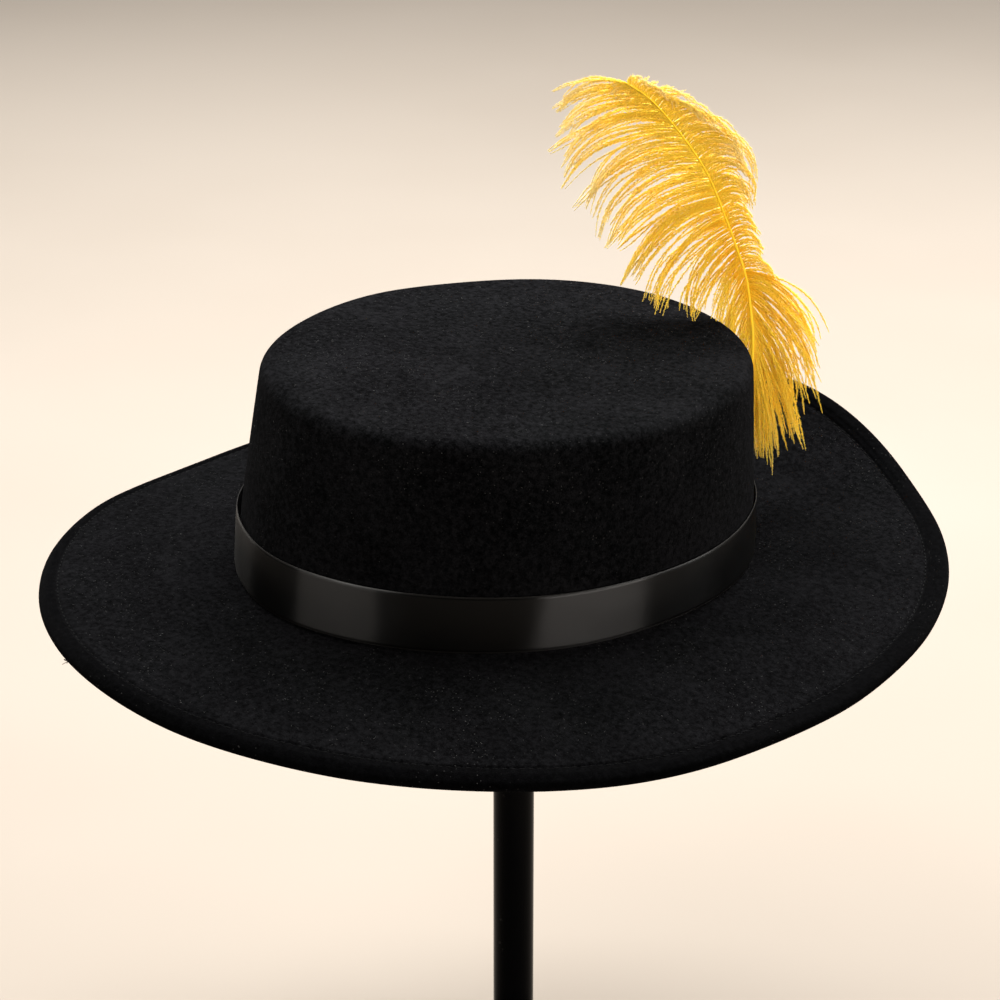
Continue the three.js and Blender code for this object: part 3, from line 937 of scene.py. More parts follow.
@dataclass(frozen=True)
class FeltLint:
    """Pale lint fibres that lie on the crown and the brim, thickest at the front of the brim.

    Attributes:
        shares: how many of the fibres lie on the brim, the top and the wall, as shares of the count.
        gathered: how far those of each gather towards the dense side, 1 where the far side has none.
    """

    hat: FeltHat
    shares: tuple[float, ...] = (0.5, 0.3, 0.2)
    gathered: tuple[float, ...] = (0.75, 0.0, 0.3)
    count: int = 2000
    on_one_ring: int = 10
    brim_from: float = 0.006
    brim_margin: float = 0.008
    bare_from: float = 0.024
    shortest: float = 0.0003
    longest: float = 0.0009
    thickness: float = 0.00008
    dense_toward: float = math.radians(262)

    def on_brim(self, angle: np.ndarray, share: float) -> tuple[np.ndarray, np.ndarray]:
        """Points of the brim at a share of its width, and the directions off its face."""
        out = self.brim_from + share * (self.hat.seam - self.brim_margin)
        return self.hat.brim(angle, out, 0.0), self.hat.brim_up(angle, out)

    def on_top(self, angle: np.ndarray, share: float) -> tuple[np.ndarray, np.ndarray]:
        """Points of the crown's top at a share of its width, and the directions off its face."""
        points = self.hat.wall(angle, self.hat.crown_height, -self.hat.top_edge_radius) * share
        points[:, 2] = self.hat.crown_height + self.hat.top_dome * (1 - share**2)
        return points, np.tile([0.0, 0.0, 1.0], (len(angle), 1))

    def on_wall(self, angle: np.ndarray, share: float) -> tuple[np.ndarray, np.ndarray]:
        """Points of the crown's wall at a share of its bare height, and the directions off its face."""
        height = self.bare_from + share * (self.hat.crown_height - self.hat.top_edge_radius - self.bare_from)
        points = self.hat.wall(angle, height, 0.0)
        return points, unit(points * np.array([1.0, 1.0, 0.0]))

    def places(self, rng: np.random.Generator) -> list[Matrix]:
        """A place for each fibre, with its length and direction."""
        found = []
        surfaces = (self.on_brim, self.on_top, self.on_wall)
        for surface, count, dense in zip(surfaces, self.shares, self.gathered):
            for _ in range(round(self.count * count / self.on_one_ring)):
                angle = rng.uniform(0, FULL_TURN, self.on_one_ring)
                points, up = surface(angle, math.sqrt(rng.uniform(0, 1)))
                near = 0.5 + 0.5 * np.cos(angle - self.dense_toward)
                kept = rng.uniform(0, 1, self.on_one_ring) < 1 - dense * (1 - near)
                ahead = np.cross(up, rng.normal(size=up.shape))
                lengths = rng.uniform(self.shortest, self.longest, self.on_one_ring)
                for i in np.flatnonzero(kept):
                    found.append(laid(points[i], ahead[i], up[i], lengths[i], self.thickness))
        return found

    def build(self, rng: np.random.Generator) -> bpy.types.Object:
        """All lint fibres, joined."""
        fibre = bmesh.new()
        bmesh.ops.create_uvsphere(fibre, u_segments=4, v_segments=5, radius=0.5)
        return joined_copies("felt_lint", fibre, self.places(rng))


@dataclass(frozen=True)
class SatinRibbon:
    """A satin ribbon with looped edges, drawn tight round the foot of the crown and over the quill."""

    UV_NAME = "weave"

    hat: FeltHat
    width: float = 0.020
    outside: float = 0.0010
    cloth: float = 0.0003
    lift: float = 0.0015
    slack: float = 0.0008
    slack_toward: float = 225.0
    slack_spread: float = 50.0
    tuck: float = 0.0030
    tuck_toward: float = 65.0
    tuck_spread: float = 9.0
    ripple: float = 0.00012
    ripple_length: float = 0.020
    ripple_radius: float = 0.095
    ripple_slant: float = 0.4
    rows: int = 16
    steps_round: int = 576
    loop_pitch: float = 0.0011
    loop_width: float = 0.0007
    loop_thread: float = 0.00028

    def stand_off(self, angle: np.ndarray, share: float) -> np.ndarray:
        """How far the ribbon's outside stands off the felt at each angle."""
        def fade(toward: float, spread: float) -> np.ndarray:
            """1 towards an angle, falling to 0 at the spread."""
            turn = (np.degrees(angle) - toward + 180) % 360 - 180
            return np.where(np.abs(turn) < spread, (1 + np.cos(np.pi * turn / spread)) / 2, 0)
        off = self.outside + self.slack * share * fade(self.slack_toward, self.slack_spread)
        off = off + self.tuck * fade(self.tuck_toward, self.tuck_spread)
        slant = share * self.ripple_slant
        places = [Vector((math.cos(a), math.sin(a), slant)) * self.ripple_radius for a in angle]
        return off + self.ripple * np.array([noise.noise(place / self.ripple_length) for place in places])

    def ring(self, angle: np.ndarray, share: float, off: float = 0.0) -> np.ndarray:
        """Points of the ribbon at a share of its width from the lower edge."""
        return self.hat.wall(angle, self.lift + share * self.width, self.stand_off(angle, share) + off)

    @property
    def length(self) -> float:
        """The ribbon's length once round the crown."""
        line = self.ring(self.hat.around(self.steps_round), 0.5)
        return float(np.linalg.norm(np.roll(line, -1, 0) - line, axis=1).sum())

    def build(self) -> bpy.types.Object:
        """The ribbon's cloth, a band extruded upwards row by row and given its thickness."""
        angle = self.hat.around(self.steps_round)
        shape = bmesh.new()
        made = bmesh.ops.create_circle(shape, segments=self.steps_round, radius=1)
        edges = shape.edges[:]
        verts = made["verts"]
        weave = shape.loops.layers.uv.new(self.UV_NAME)
        rows = [verts]
        for _ in range(self.rows):
            grown = bmesh.ops.extrude_edge_only(shape, edges=edges)["geom"]
            edges = [item for item in grown if isinstance(item, bmesh.types.BMEdge)]
            edges = [edge for edge in edges if all(vert in grown for vert in edge.verts)]
            rows.append([item for item in grown if isinstance(item, bmesh.types.BMVert)])
        at = {}
        length = self.length
        for row, verts in enumerate(rows):
            ring = self.ring(angle, row / self.rows)
            for vertex in verts:
                step = round(math.atan2(vertex.co.y, vertex.co.x) / FULL_TURN * self.steps_round)
                at[vertex] = (step % self.steps_round, row)
                vertex.co = ring[step % self.steps_round]
        for face in shape.faces:
            steps = [at[loop.vert][0] for loop in face.loops]
            across = max(steps) - min(steps) > 1
            for loop, step in zip(face.loops, steps):
                share = (step + self.steps_round * (across and step == 0)) / self.steps_round
                loop[weave].uv = (share * length, at[loop.vert][1] / self.rows * self.width)
        bmesh.ops.recalc_face_normals(shape, faces=shape.faces)
        piece = bmesh_piece("satin_ribbon", shape)
        wall = piece.modifiers.new("cloth", "SOLIDIFY")
        wall.thickness = self.cloth
        wall.offset = -1
        # The rims take the ribbon thread, with its painted highlight.
        wall.material_offset_rim = 1
        return piece

    def build_edge_loops(self) -> bpy.types.Object:
        """The small loops of thread along both edges."""
        loop = bmesh.new()
        ring = bmesh.ops.create_circle(loop, segments=4, radius=self.loop_thread / 2 / self.loop_width)
        turn = Matrix.Translation((0.5, 0, 0)) @ Matrix.Rotation(math.pi / 2, 4, "X")
        bmesh.ops.transform(loop, matrix=turn, verts=ring["verts"])
        geometry = loop.verts[:] + loop.edges[:]
        bmesh.ops.spin(loop, geom=geometry, cent=(0, 0, 0), axis=(0, 0, 1), angle=math.pi, steps=6)
        bmesh.ops.holes_fill(loop, edges=[edge for edge in loop.edges if edge.is_boundary])
        bmesh.ops.recalc_face_normals(loop, faces=loop.faces)
        places = []
        for share, outward in ((0.0, -1), (1.0, 1)):
            angle = self.hat.around(self.steps_round * 4)
            line = self.ring(angle, share, -self.cloth / 2)
            stops, ahead = stops_along(line, self.loop_pitch)
            for i in stops:
                out = np.cross([0, 0, outward], ahead[i])
                places.append(frame_at(line[i], ahead[i], out) @ Matrix.Scale(self.loop_width, 4))
        return joined_copies("ribbon_edge_loops", loop, places)


@dataclass(frozen=True)
class QuillPoint:
    """A point of the quill above the ribbon.

    Attributes:
        along: how far along the plume's plane from the quill's foot, as a share of the plume's reach.
        away: how far off that plane, as a share of the plume's reach.
        crown: height, as a share of the crown's height.
        rise: more height, as a share of the plume's rise.
    """

    along: float
    away: float
    crown: float
    rise: float


@dataclass(frozen=True)
class Quill:
    """The plume's quill: tucked behind the ribbon, up past the crown and over to its drooping tip."""

    hat: FeltHat
    ribbon: SatinRibbon
    toward: float = 65.0
    plane: float = 43.0
    rise: float = 0.087
    reach: float = 0.050
    radius: float = 0.0007
    tip_radius: float = 0.00025
    stand_off: float = 0.0015
    tone: float = 0.6
    sides: int = 10
    steps: int = 90
    tucked: tuple[float, ...] = (0.05, 0.5, 1.15)
    form: tuple[QuillPoint, ...] = (
        QuillPoint(0.01, 0.02, 0.55, 0),
        QuillPoint(0.03, 0.06, 0.87, 0),
        QuillPoint(0.0, 0.1, 1, 0.04),
        QuillPoint(-0.05, 0.13, 1, 0.18),
        QuillPoint(-0.13, 0.15, 1, 0.3),
        QuillPoint(-0.22, 0.16, 1, 0.42),
        QuillPoint(-0.4, 0.11, 1, 0.64),
        QuillPoint(-0.7, 0.0, 1, 0.88),
        QuillPoint(-0.86, -0.08, 1, 0.98),
        QuillPoint(-1.03, -0.16, 1, 1.05),
    )

    @property
    def flat(self) -> np.ndarray:
        """Level direction along the plume's plane."""
        return level(self.plane)

    @property
    def away(self) -> np.ndarray:
        """Level direction off the plume's plane."""
        return level(self.plane + 90)

    def knots(self) -> np.ndarray:
        """The points that the quill passes through."""
        angle = np.array([math.radians(self.toward)])
        heights = [self.ribbon.lift + share * self.ribbon.width for share in self.tucked]
        held = [self.hat.wall(angle, height, self.stand_off)[0] for height in heights]
        foot = held[0] * np.array([1, 1, 0])
        free = []
        for point in self.form:
            height = point.crown * self.hat.crown_height + point.rise * self.rise
            side = point.along * self.reach * self.flat + point.away * self.reach * self.away
            free.append(foot + side + np.array([0, 0, height]))
        return np.array(held + free)

    def line(self, fine: int = 24) -> np.ndarray:
        """The quill's centreline, a smooth curve through its points."""
        knots = self.knots()
        knots = np.vstack([2 * knots[0] - knots[1], knots, 2 * knots[-1] - knots[-2]])
        gaps = np.sqrt(np.linalg.norm(np.diff(knots, axis=0), axis=1))
        k = np.linspace(0, 1, fine, endpoint=False)[:, None]
        stretches = []
        for i in range(1, len(knots) - 2):
            before, start, end, after = knots[i - 1 : i + 3]
            leave = (start - before) / gaps[i - 1] - (end - before) / (gaps[i - 1] + gaps[i])
            leave = (leave + (end - start) / gaps[i]) * gaps[i]
            arrive = (end - start) / gaps[i] - (after - start) / (gaps[i] + gaps[i + 1])
            arrive = (arrive + (after - end) / gaps[i + 1]) * gaps[i]
            cubic = (2 * start - 2 * end + leave + arrive) * k**3
            stretches.append(start + leave * k + (3 * end - 3 * start - 2 * leave - arrive) * k**2 + cubic)
        return Blocking().bend(np.vstack([*stretches, knots[-2:-1]]))

    def at(self, shares: np.ndarray) -> np.ndarray:
        """Points at shares of the quill's length."""
        line = self.line()
        walked = distances(np.diff(line, axis=0))
        return np.stack([np.interp(shares * walked[-1], walked, line[:, axis]) for axis in range(3)], -1)

    def build(self) -> bpy.types.Object:
        """The quill as a tapered tube."""
        shares = np.linspace(0, 1, self.steps)
        radii = self.radius + (self.tip_radius - self.radius) * shares
        points, triangles = tubes(self.at(shares)[None], radii[None], self.sides, self.away)
        piece = array_piece("plume_quill", points, triangles)
        Barbs.note(piece, np.zeros(len(points)), np.full(len(points), self.tone))
        return piece


def tubes(
    paths: np.ndarray, radii: np.ndarray, sides: int, across: np.ndarray, flatness: float = 1.0
) -> tuple[np.ndarray, np.ndarray]:
    """Closed tubes along several paths.

    Args:
        paths: for each tube, its centreline as rows of x, y and z.
        radii: for each tube, its radius at each point of the centreline.
        sides: how many sides each tube has.
        across: a direction that no path runs along.
        flatness: thickness along that direction, as a share of the width.

    Returns:
        The corners and the triangles, as array_piece takes them.
    """
    count, steps, _ = paths.shape
    forward = unit(np.gradient(paths, axis=1))
    side = unit(np.cross(across, forward))
    other = np.cross(forward, side)
    turn = (np.arange(sides) * FULL_TURN / sides)[None, None, :, None]
    ring = np.cos(turn) * side[:, :, None] + flatness * np.sin(turn) * other[:, :, None]
    rings = paths[:, :, None] + radii[:, :, None, None] * ring
    ends = paths[:, [0, -1]]
    points = np.concatenate([rings.reshape(count, -1, 3), ends], 1)
    triangles = []
    for i in range(steps - 1):
        for k in range(sides):
            a, b = i * sides + k, i * sides + (k + 1) % sides
            triangles += [(a, b, a + sides), (b, b + sides, a + sides)]
    last, foot = (steps - 1) * sides, steps * sides
    for k in range(sides):
        after = (k + 1) % sides
        triangles += [(after, k, foot), (last + k, last + after, foot + 1)]
    starts = np.arange(count)[:, None, None] * (steps * sides + 2)
    return points.reshape(-1, 3), (np.array(triangles)[None] + starts).reshape(-1, 3)


def spikes(roots: np.ndarray, reach: np.ndarray, thickness: float) -> tuple[np.ndarray, np.ndarray]:
    """Closed three-sided spikes.

    Args:
        roots: the middle of each spike's foot.
        reach: from each foot to its tip.
        thickness: how thick each foot is.

    Returns:
        The corners and the triangles, as array_piece takes them.
    """
    forward = unit(reach)
    side = unit(np.cross(forward, np.roll(forward, 1, axis=-1) + np.array([0.3, 0.1, 0.2])))
    other = np.cross(forward, side)
    corners = []
    for turn in np.arange(3) * FULL_TURN / 3:
        corners.append(roots + thickness / 2 * (math.cos(turn) * side + math.sin(turn) * other))
    points = np.stack([*corners, roots + reach], 1)
    faces = np.array([(0, 1, 3), (1, 2, 3), (2, 0, 3), (0, 2, 1)])
    starts = np.arange(len(roots))[:, None, None] * 4
    return points.reshape(-1, 3), (faces[None] + starts).reshape(-1, 3)


@dataclass(frozen=True)
class LockRow:
    """How the barbs leave the quill at one place.

    Attributes:
        at: the place, as a share of the quill's length.
        length: their length, as a share of the plume's reach.
        start: their heading at the quill in the plume's plane, in degrees, 0 level and 90 straight up.
        end: their heading at the tip.
        lean: how far they turn off the plane, in degrees.
    """

    at: float
    length: float
    start: float
    end: float
    lean: float


@dataclass(frozen=True)
class Barbs:
    """Barbs along a stretch of the quill, each with its barbules, in strands and loose bunches."""

    OUT_NAME = "barb_out"
    TONE_NAME = "barb_tone"

    name: str
    quill: Quill
    rows: tuple[LockRow, ...]
    count: int
    first: float
    last: float
    strand: int = 5
    strand_grip: float = 0.6
    bunch: int = 14
    bunch_grip: float = 0.2
    uneven_spacing: float = 0.4
    uneven_length: float = 0.10
    uneven_heading: float = 4.0
    uneven_lean: float = 8.0
    uneven_tone: float = 0.2
    stray: float = 4.0
    most_shorter: float = 0.25
    most_longer: float = 0.12
    start_unevenness: float = 0.5
    end_unevenness: float = 1.6
    wave: float = 5.0
    waves: float = 1.1
    steps: int = 15
    sides: int = 4
    width: float = 0.00055
    tip_width: float = 0.00010
    flatness: float = 0.35
    barbule_length: float = 0.0015
    barbule_thickness: float = 0.00023
    barbules_per_metre: float = 7200.0
    barbules_from: float = 0.02
    barbule_splay: float = 34.0
    uneven_splay: float = 7.0
    uneven_roll: float = 0.6
    swell_at: tuple[float, ...] = (0, 0.12, 0.5, 0.85, 1)
    swell: tuple[float, ...] = (0.5, 0.9, 1.0, 0.7, 0.25)
    early_turn: float = 0.1
    apart_from: float = 0.25
    apart_bend: float = 1.2
    dye_shares: tuple[float, ...] = (0.3, 0.5, 0.62, 0.72, 1.0)
    dye_tones: tuple[float, ...] = (0.6, 0.3, 0.4, 0.8, 0.95)

    @staticmethod
    def note(piece: bpy.types.Object, out: np.ndarray, tone: np.ndarray) -> None:
        """Keeps on each corner how far out along its barb it is, and its barb's own tone."""
        note_values(piece, Barbs.OUT_NAME, out)
        note_values(piece, Barbs.TONE_NAME, tone)

    def read(self, name: str, shares: np.ndarray) -> np.ndarray:
        """A column of the table at shares of the quill's length."""
        at = column(self.rows, "at")
        place = np.interp(shares, at, np.arange(len(at)))
        return smooth_curve(column(self.rows, name), np.minimum(place, len(at) - 1.001), closed=False)

    def paths(self, rng: np.random.Generator) -> tuple[np.ndarray, np.ndarray]:
        """The centreline of every barb.

        Args:
            rng: the source of the barbs' unevenness.

        Returns:
            For each barb, a row of x, y and z at each step, and its place along the quill.
        """
        moved = rng.uniform(-self.uneven_spacing, self.uneven_spacing, self.count)
        spread = (np.arange(self.count) + moved) / (self.count - 1)
        shares = self.first + (self.last - self.first) * np.clip(spread, 0, 1)
        def jitter(size: float) -> np.ndarray:
            """A draw for each barb, now and then a large one."""
            return size * rng.standard_t(self.stray, self.count).clip(-self.stray, self.stray)
        grown = 1 + jitter(self.uneven_length).clip(-self.most_shorter, self.most_longer)
        length = self.quill.reach * self.read("length", shares) * grown
        start = self.read("start", shares) + jitter(self.start_unevenness * self.uneven_heading)
        end = self.read("end", shares) + jitter(self.end_unevenness * self.uneven_heading)
        lean = self.read("lean", shares) + jitter(self.uneven_lean)
        k = np.clip((np.arange(self.steps - 1) + 0.5) / (self.steps - 1) + self.early_turn, 0, 1)
        sway = self.wave * np.sin(FULL_TURN * (self.waves * k + rng.uniform(0, 1, (self.count, 1))))
        turn = np.radians(start[:, None] + (end - start)[:, None] * k + sway)
        tilt = np.radians(lean[:, None] * k)
        flat, away, up = self.quill.flat, self.quill.away, np.array([0, 0, 1.0])
        inside = np.cos(turn)[..., None] * flat + np.sin(turn)[..., None] * up
        ahead = np.cos(tilt)[..., None] * inside + np.sin(tilt)[..., None] * away
        walk = np.cumsum(ahead * (length / (self.steps - 1))[:, None, None], 1)
        roots = self.quill.at(shares)[:, None]
        loose = np.concatenate([roots, roots + walk], 1)
        bunched = self.gathered(loose, self.bunch, self.bunch_grip, rng)
        return self.gathered(bunched, self.strand, self.strand_grip, rng), shares

    def gathered(self, paths: np.ndarray, most: int, grip: float, rng: np.random.Generator) -> np.ndarray:
        """The barbs, drawn towards the middle one of each group on their way out.

        Args:
            paths: the centreline of every barb.
            most: how many barbs the largest group has. The smallest has half as many.
            grip: how far the tips are drawn in, as a share of the way.
            rng: the source of the groups' sizes.

        Returns:
            The drawn centrelines.
        """
        starts = np.cumsum(rng.integers(most // 2, most + 1, self.count))
        group = np.searchsorted(starts, np.arange(self.count), side="right")
        leader = np.array([np.flatnonzero(group == one).mean() for one in group]).astype(int)
        out = np.linspace(0, 1, self.steps)[None, :, None]
        pull = grip * np.clip((out - self.apart_from) / (1 - self.apart_from), 0, 1) ** self.apart_bend
        return paths + pull * (paths[leader] - paths)

    def build(self, rng: np.random.Generator) -> bpy.types.Object:
        """Every barb and barbule of this side, joined.

        Args:
            rng: the source of the barbs' unevenness.

        Returns:
            The piece.
        """
        paths, shares = self.paths(rng)
        out = np.linspace(0, 1, self.steps)
        radii = (self.width + (self.tip_width - self.width) * out) / 2
        radii = np.tile(radii, (self.count, 1))
        core, core_faces = tubes(paths, radii, self.sides, self.quill.away, self.flatness)
        tone = np.interp(shares, self.dye_shares, self.dye_tones)
        tone = tone + rng.uniform(-self.uneven_tone, self.uneven_tone, self.count)
        core_out = np.tile(np.concatenate([np.repeat(out, self.sides), [0, 1]]), self.count)
        core_tone = np.repeat(tone, self.steps * self.sides + 2)
        roots, reach, barbule_out, owner = self.barbules(paths, rng)
        tips, tip_faces = spikes(roots, reach, self.barbule_thickness)
        points = np.vstack([core, tips])
        faces = np.vstack([core_faces, tip_faces + len(core)])
        piece = array_piece(self.name, points, faces)
        piece.data.polygons.foreach_set("use_smooth", np.arange(len(faces)) < len(core_faces))
        spike_out = np.repeat(barbule_out, 4) + np.tile([0, 0, 0, 0.2], len(roots))
        spike_tone = np.repeat(tone[owner], 4)
        self.note(piece, np.concatenate([core_out, spike_out]), np.concatenate([core_tone, spike_tone]))
        return piece

    def barbules(self, paths: np.ndarray, rng: np.random.Generator) -> tuple[np.ndarray, ...]:
        """Where the barbules grow and how far they reach.

        Args:
            paths: the centreline of every barb.
            rng: the source of their unevenness.

        Returns:
            Roots, reaches, how far out along its barb each one is, and the number of its barb.
        """
        lengths = np.linalg.norm(np.diff(paths, axis=1), axis=2).sum(1)
        owner = np.repeat(np.arange(self.count), (lengths * self.barbules_per_metre).astype(int))
        out = rng.uniform(self.barbules_from, 1.0, len(owner))
        step = np.minimum((out * (self.steps - 1)).astype(int), self.steps - 2)
        k = (out * (self.steps - 1) - step)[:, None]
        start, end = paths[owner, step], paths[owner, step + 1]
        forward = unit(end - start)
        side = unit(np.cross(self.quill.away, forward))
        other = np.cross(forward, side)
        half_turns = rng.integers(0, 2, len(owner)) * math.pi
        turn = (half_turns + rng.normal(0, self.uneven_roll, len(owner)))[:, None]
        splay = np.radians(self.barbule_splay + rng.normal(0, self.uneven_splay, len(owner)))[:, None]
        direction = np.cos(splay) * forward + np.sin(splay) * (np.cos(turn) * side + np.sin(turn) * other)
        swell = np.interp(out, self.swell_at, self.swell)
        length = self.barbule_length * swell * rng.uniform(0.75, 1.15, len(owner))
        return start + k * (end - start), direction * length[:, None], out, owner


@dataclass(frozen=True)
class OstrichPlume:
    """The whole plume: the quill, its two sides and the tuft at its foot."""

    quill: Quill
    left: tuple[LockRow, ...] = (
        LockRow(0.33, 0.2, 264, 270, -4),
        LockRow(0.4, 0.36, 250, 264, -10),
        LockRow(0.45, 0.44, 240, 260, -22),
        LockRow(0.52, 0.5, 226, 256, -30),
        LockRow(0.59, 0.8, 204, 248, -22),
        LockRow(0.68, 0.9, 182, 242, -12),
        LockRow(0.8, 0.92, 170, 238, -4),
        LockRow(0.9, 0.79, 160, 232, 4),
        LockRow(0.99, 0.54, 152, 220, 8),
    )
    right: tuple[LockRow, ...] = (
        LockRow(0.46, 0.3, 12, -62, 16),
        LockRow(0.52, 0.26, 44, -62, 13),
        LockRow(0.6, 0.24, 68, -58, 10),
        LockRow(0.7, 0.34, 72, -60, 6),
        LockRow(0.8, 0.42, 66, -50, 0),
        LockRow(0.88, 0.36, 70, -50, -4),
        LockRow(0.94, 0.18, 88, -60, -4),
        LockRow(0.99, 0.11, 116, 0, -4),
    )
    strands: tuple[LockRow, ...] = (
        LockRow(0.62, 0.3, 74, -84, 8),
        LockRow(0.7, 0.48, 70, -86, 6),
        LockRow(0.8, 0.68, 64, -90, 0),
        LockRow(0.88, 0.56, 62, -76, -4),
        LockRow(0.95, 0.32, 74, -50, -4),
    )
    left_down: tuple[LockRow, ...] = (
        LockRow(0.5, 0.26, 222, 250, 22),
        LockRow(0.68, 0.32, 178, 214, 22),
        LockRow(0.85, 0.32, 162, 200, 22),
        LockRow(0.99, 0.16, 172, 214, 22),
    )
    right_down: tuple[LockRow, ...] = (
        LockRow(0.5, 0.1, 62, 20, 22),
        LockRow(0.68, 0.2, 64, 0, 22),
        LockRow(0.85, 0.26, 58, -10, 22),
        LockRow(0.99, 0.08, 110, 30, 22),
    )
    tuft: tuple[LockRow, ...] = (
        LockRow(0.3, 0.76, -84, -92, 8),
        LockRow(0.34, 1.0, -74, -82, 14),
        LockRow(0.38, 1.04, -62, -74, 20),
        LockRow(0.44, 0.98, -36, -78, 24),
        LockRow(0.5, 0.88, -4, -76, 26),
    )

    def build(self, rng: np.random.Generator) -> list[bpy.types.Object]:
        """The quill, the barbs in groups, and the short down along the quill."""
        foot = {"bunch_grip": 0.35, "uneven_heading": 6.0}
        apart = {"strand": 6, "strand_grip": 0.85, "bunch_grip": 0.1}
        pairs = {"strand": 2, "uneven_length": 0.14}
        loose = {"strand": 4, "strand_grip": 0.4, "uneven_lean": 12.0}
        down = {"steps": 9, "strand_grip": 0.0, "bunch_grip": 0.0, "uneven_length": 0.2}
        made = [self.quill.build()]
        for name, rows, count, first, last, options in (
            ("left_foot", self.left, 118, 0.33, 0.66, foot),
            ("left_barbs", self.left, 124, 0.64, 0.99, apart),
            ("left_down", self.left_down, 90, 0.5, 0.99, down),
            ("right_barbs", self.right, 150, 0.46, 0.99, {"bunch_grip": 0.1}),
            ("right_strands", self.strands, 26, 0.66, 0.94, pairs),
            ("right_down", self.right_down, 90, 0.5, 0.99, down),
            ("tuft", self.tuft, 126, 0.3, 0.5, loose),
        ):
            side = Barbs("plume_" + name, self.quill, rows, count, first, last, **options)
            made.append(side.build(rng))
        return made


@dataclass(frozen=True)
class HatStand:
    """The stand: a weighted disc, a tube for a post and a domed head inside the crown."""

    steps_round: int = 128
    dome_radius: float = 0.130
    base_edge: float = 0.0015
    sharp_from: float = math.radians(40)
    same_point: float = 1e-6
    edge_steps: int = 3
    dome_steps: int = 24

    def turned(self, name: str, outline: list[tuple[float, float]], edge: float) -> bpy.types.Object:
        """A piece turned round the stand's axis.

        Args:
            name: the piece's name.
            outline: radius and height of each corner, from the axis at the bottom to the axis at the top.
            edge: the radius of its rounded edges.

        Returns:
            The piece.
        """
        shape = bmesh.new()
        corners = [shape.verts.new((radius, 0, height)) for radius, height in outline]
        edges = [shape.edges.new(pair) for pair in zip(corners, corners[1:])]
        round_it = {"cent": (0, 0, 0), "axis": (0, 0, 1), "angle": FULL_TURN, "steps": self.steps_round}
        bmesh.ops.spin(shape, geom=corners + edges, use_merge=True, **round_it)
        bmesh.ops.remove_doubles(shape, verts=shape.verts, dist=self.same_point)
        bmesh.ops.recalc_face_normals(shape, faces=shape.faces)
        joined = [item for item in shape.edges if item.is_manifold]
        sharp = [item for item in joined if item.calc_face_angle() > self.sharp_from]
        bmesh.ops.bevel(
            shape, geom=sharp, offset=edge, affect="EDGES", segments=self.edge_steps, profile=0.5, material=-1
        )
        return bmesh_piece(name, shape)

    def build(self) -> dict[str, bpy.types.Object]:
        """Each piece of the stand, by the node that it stands for."""
        disc, disc_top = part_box("stand_base")
        post, post_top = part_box("stand_post")
        head, head_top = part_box("stand_head")
        centre = head_top.z - self.dome_radius
        outs = [head_top.x * share for share in np.linspace(1, 0, self.dome_steps)]
        dome = [(out, centre + math.sqrt(self.dome_radius**2 - out**2)) for out in outs]
        base = [(0, disc.z), (disc_top.x, disc.z), (disc_top.x, disc_top.z), (0, disc_top.z)]
        tube = [(0, post.z), (post_top.x, post.z), (post_top.x, post_top.z), (0, post_top.z)]
        cap = [(0, head.z), (head_top.x, head.z), *dome]
        return {
            "stand_base": self.turned("stand_disc", base, self.base_edge),
            "stand_post": self.turned("stand_tube", tube, self.base_edge / 3),
            "stand_head": self.turned("stand_cap", cap, self.base_edge / 2),
        }


@dataclass(frozen=True)
class Softbox:
    """One soft lamp.

    Attributes:
        name: the lamp's name.
        azimuth: where it stands, in degrees, 0 in front of the hat and 90 at the wearer's left.
        elevation: how high it stands, in degrees.
        width: its width in metres.
        height: its height in metres.
        power: its power in watts.
        colour: its colour.
        lights_only: the collection that it lights, or nothing where it lights everything.
    """

    name: str
    azimuth: float
    elevation: float
    width: float
    height: float
    power: float
    colour: tuple[float, float, float] = (1.0, 1.0, 1.0)
    lights_only: str = ""


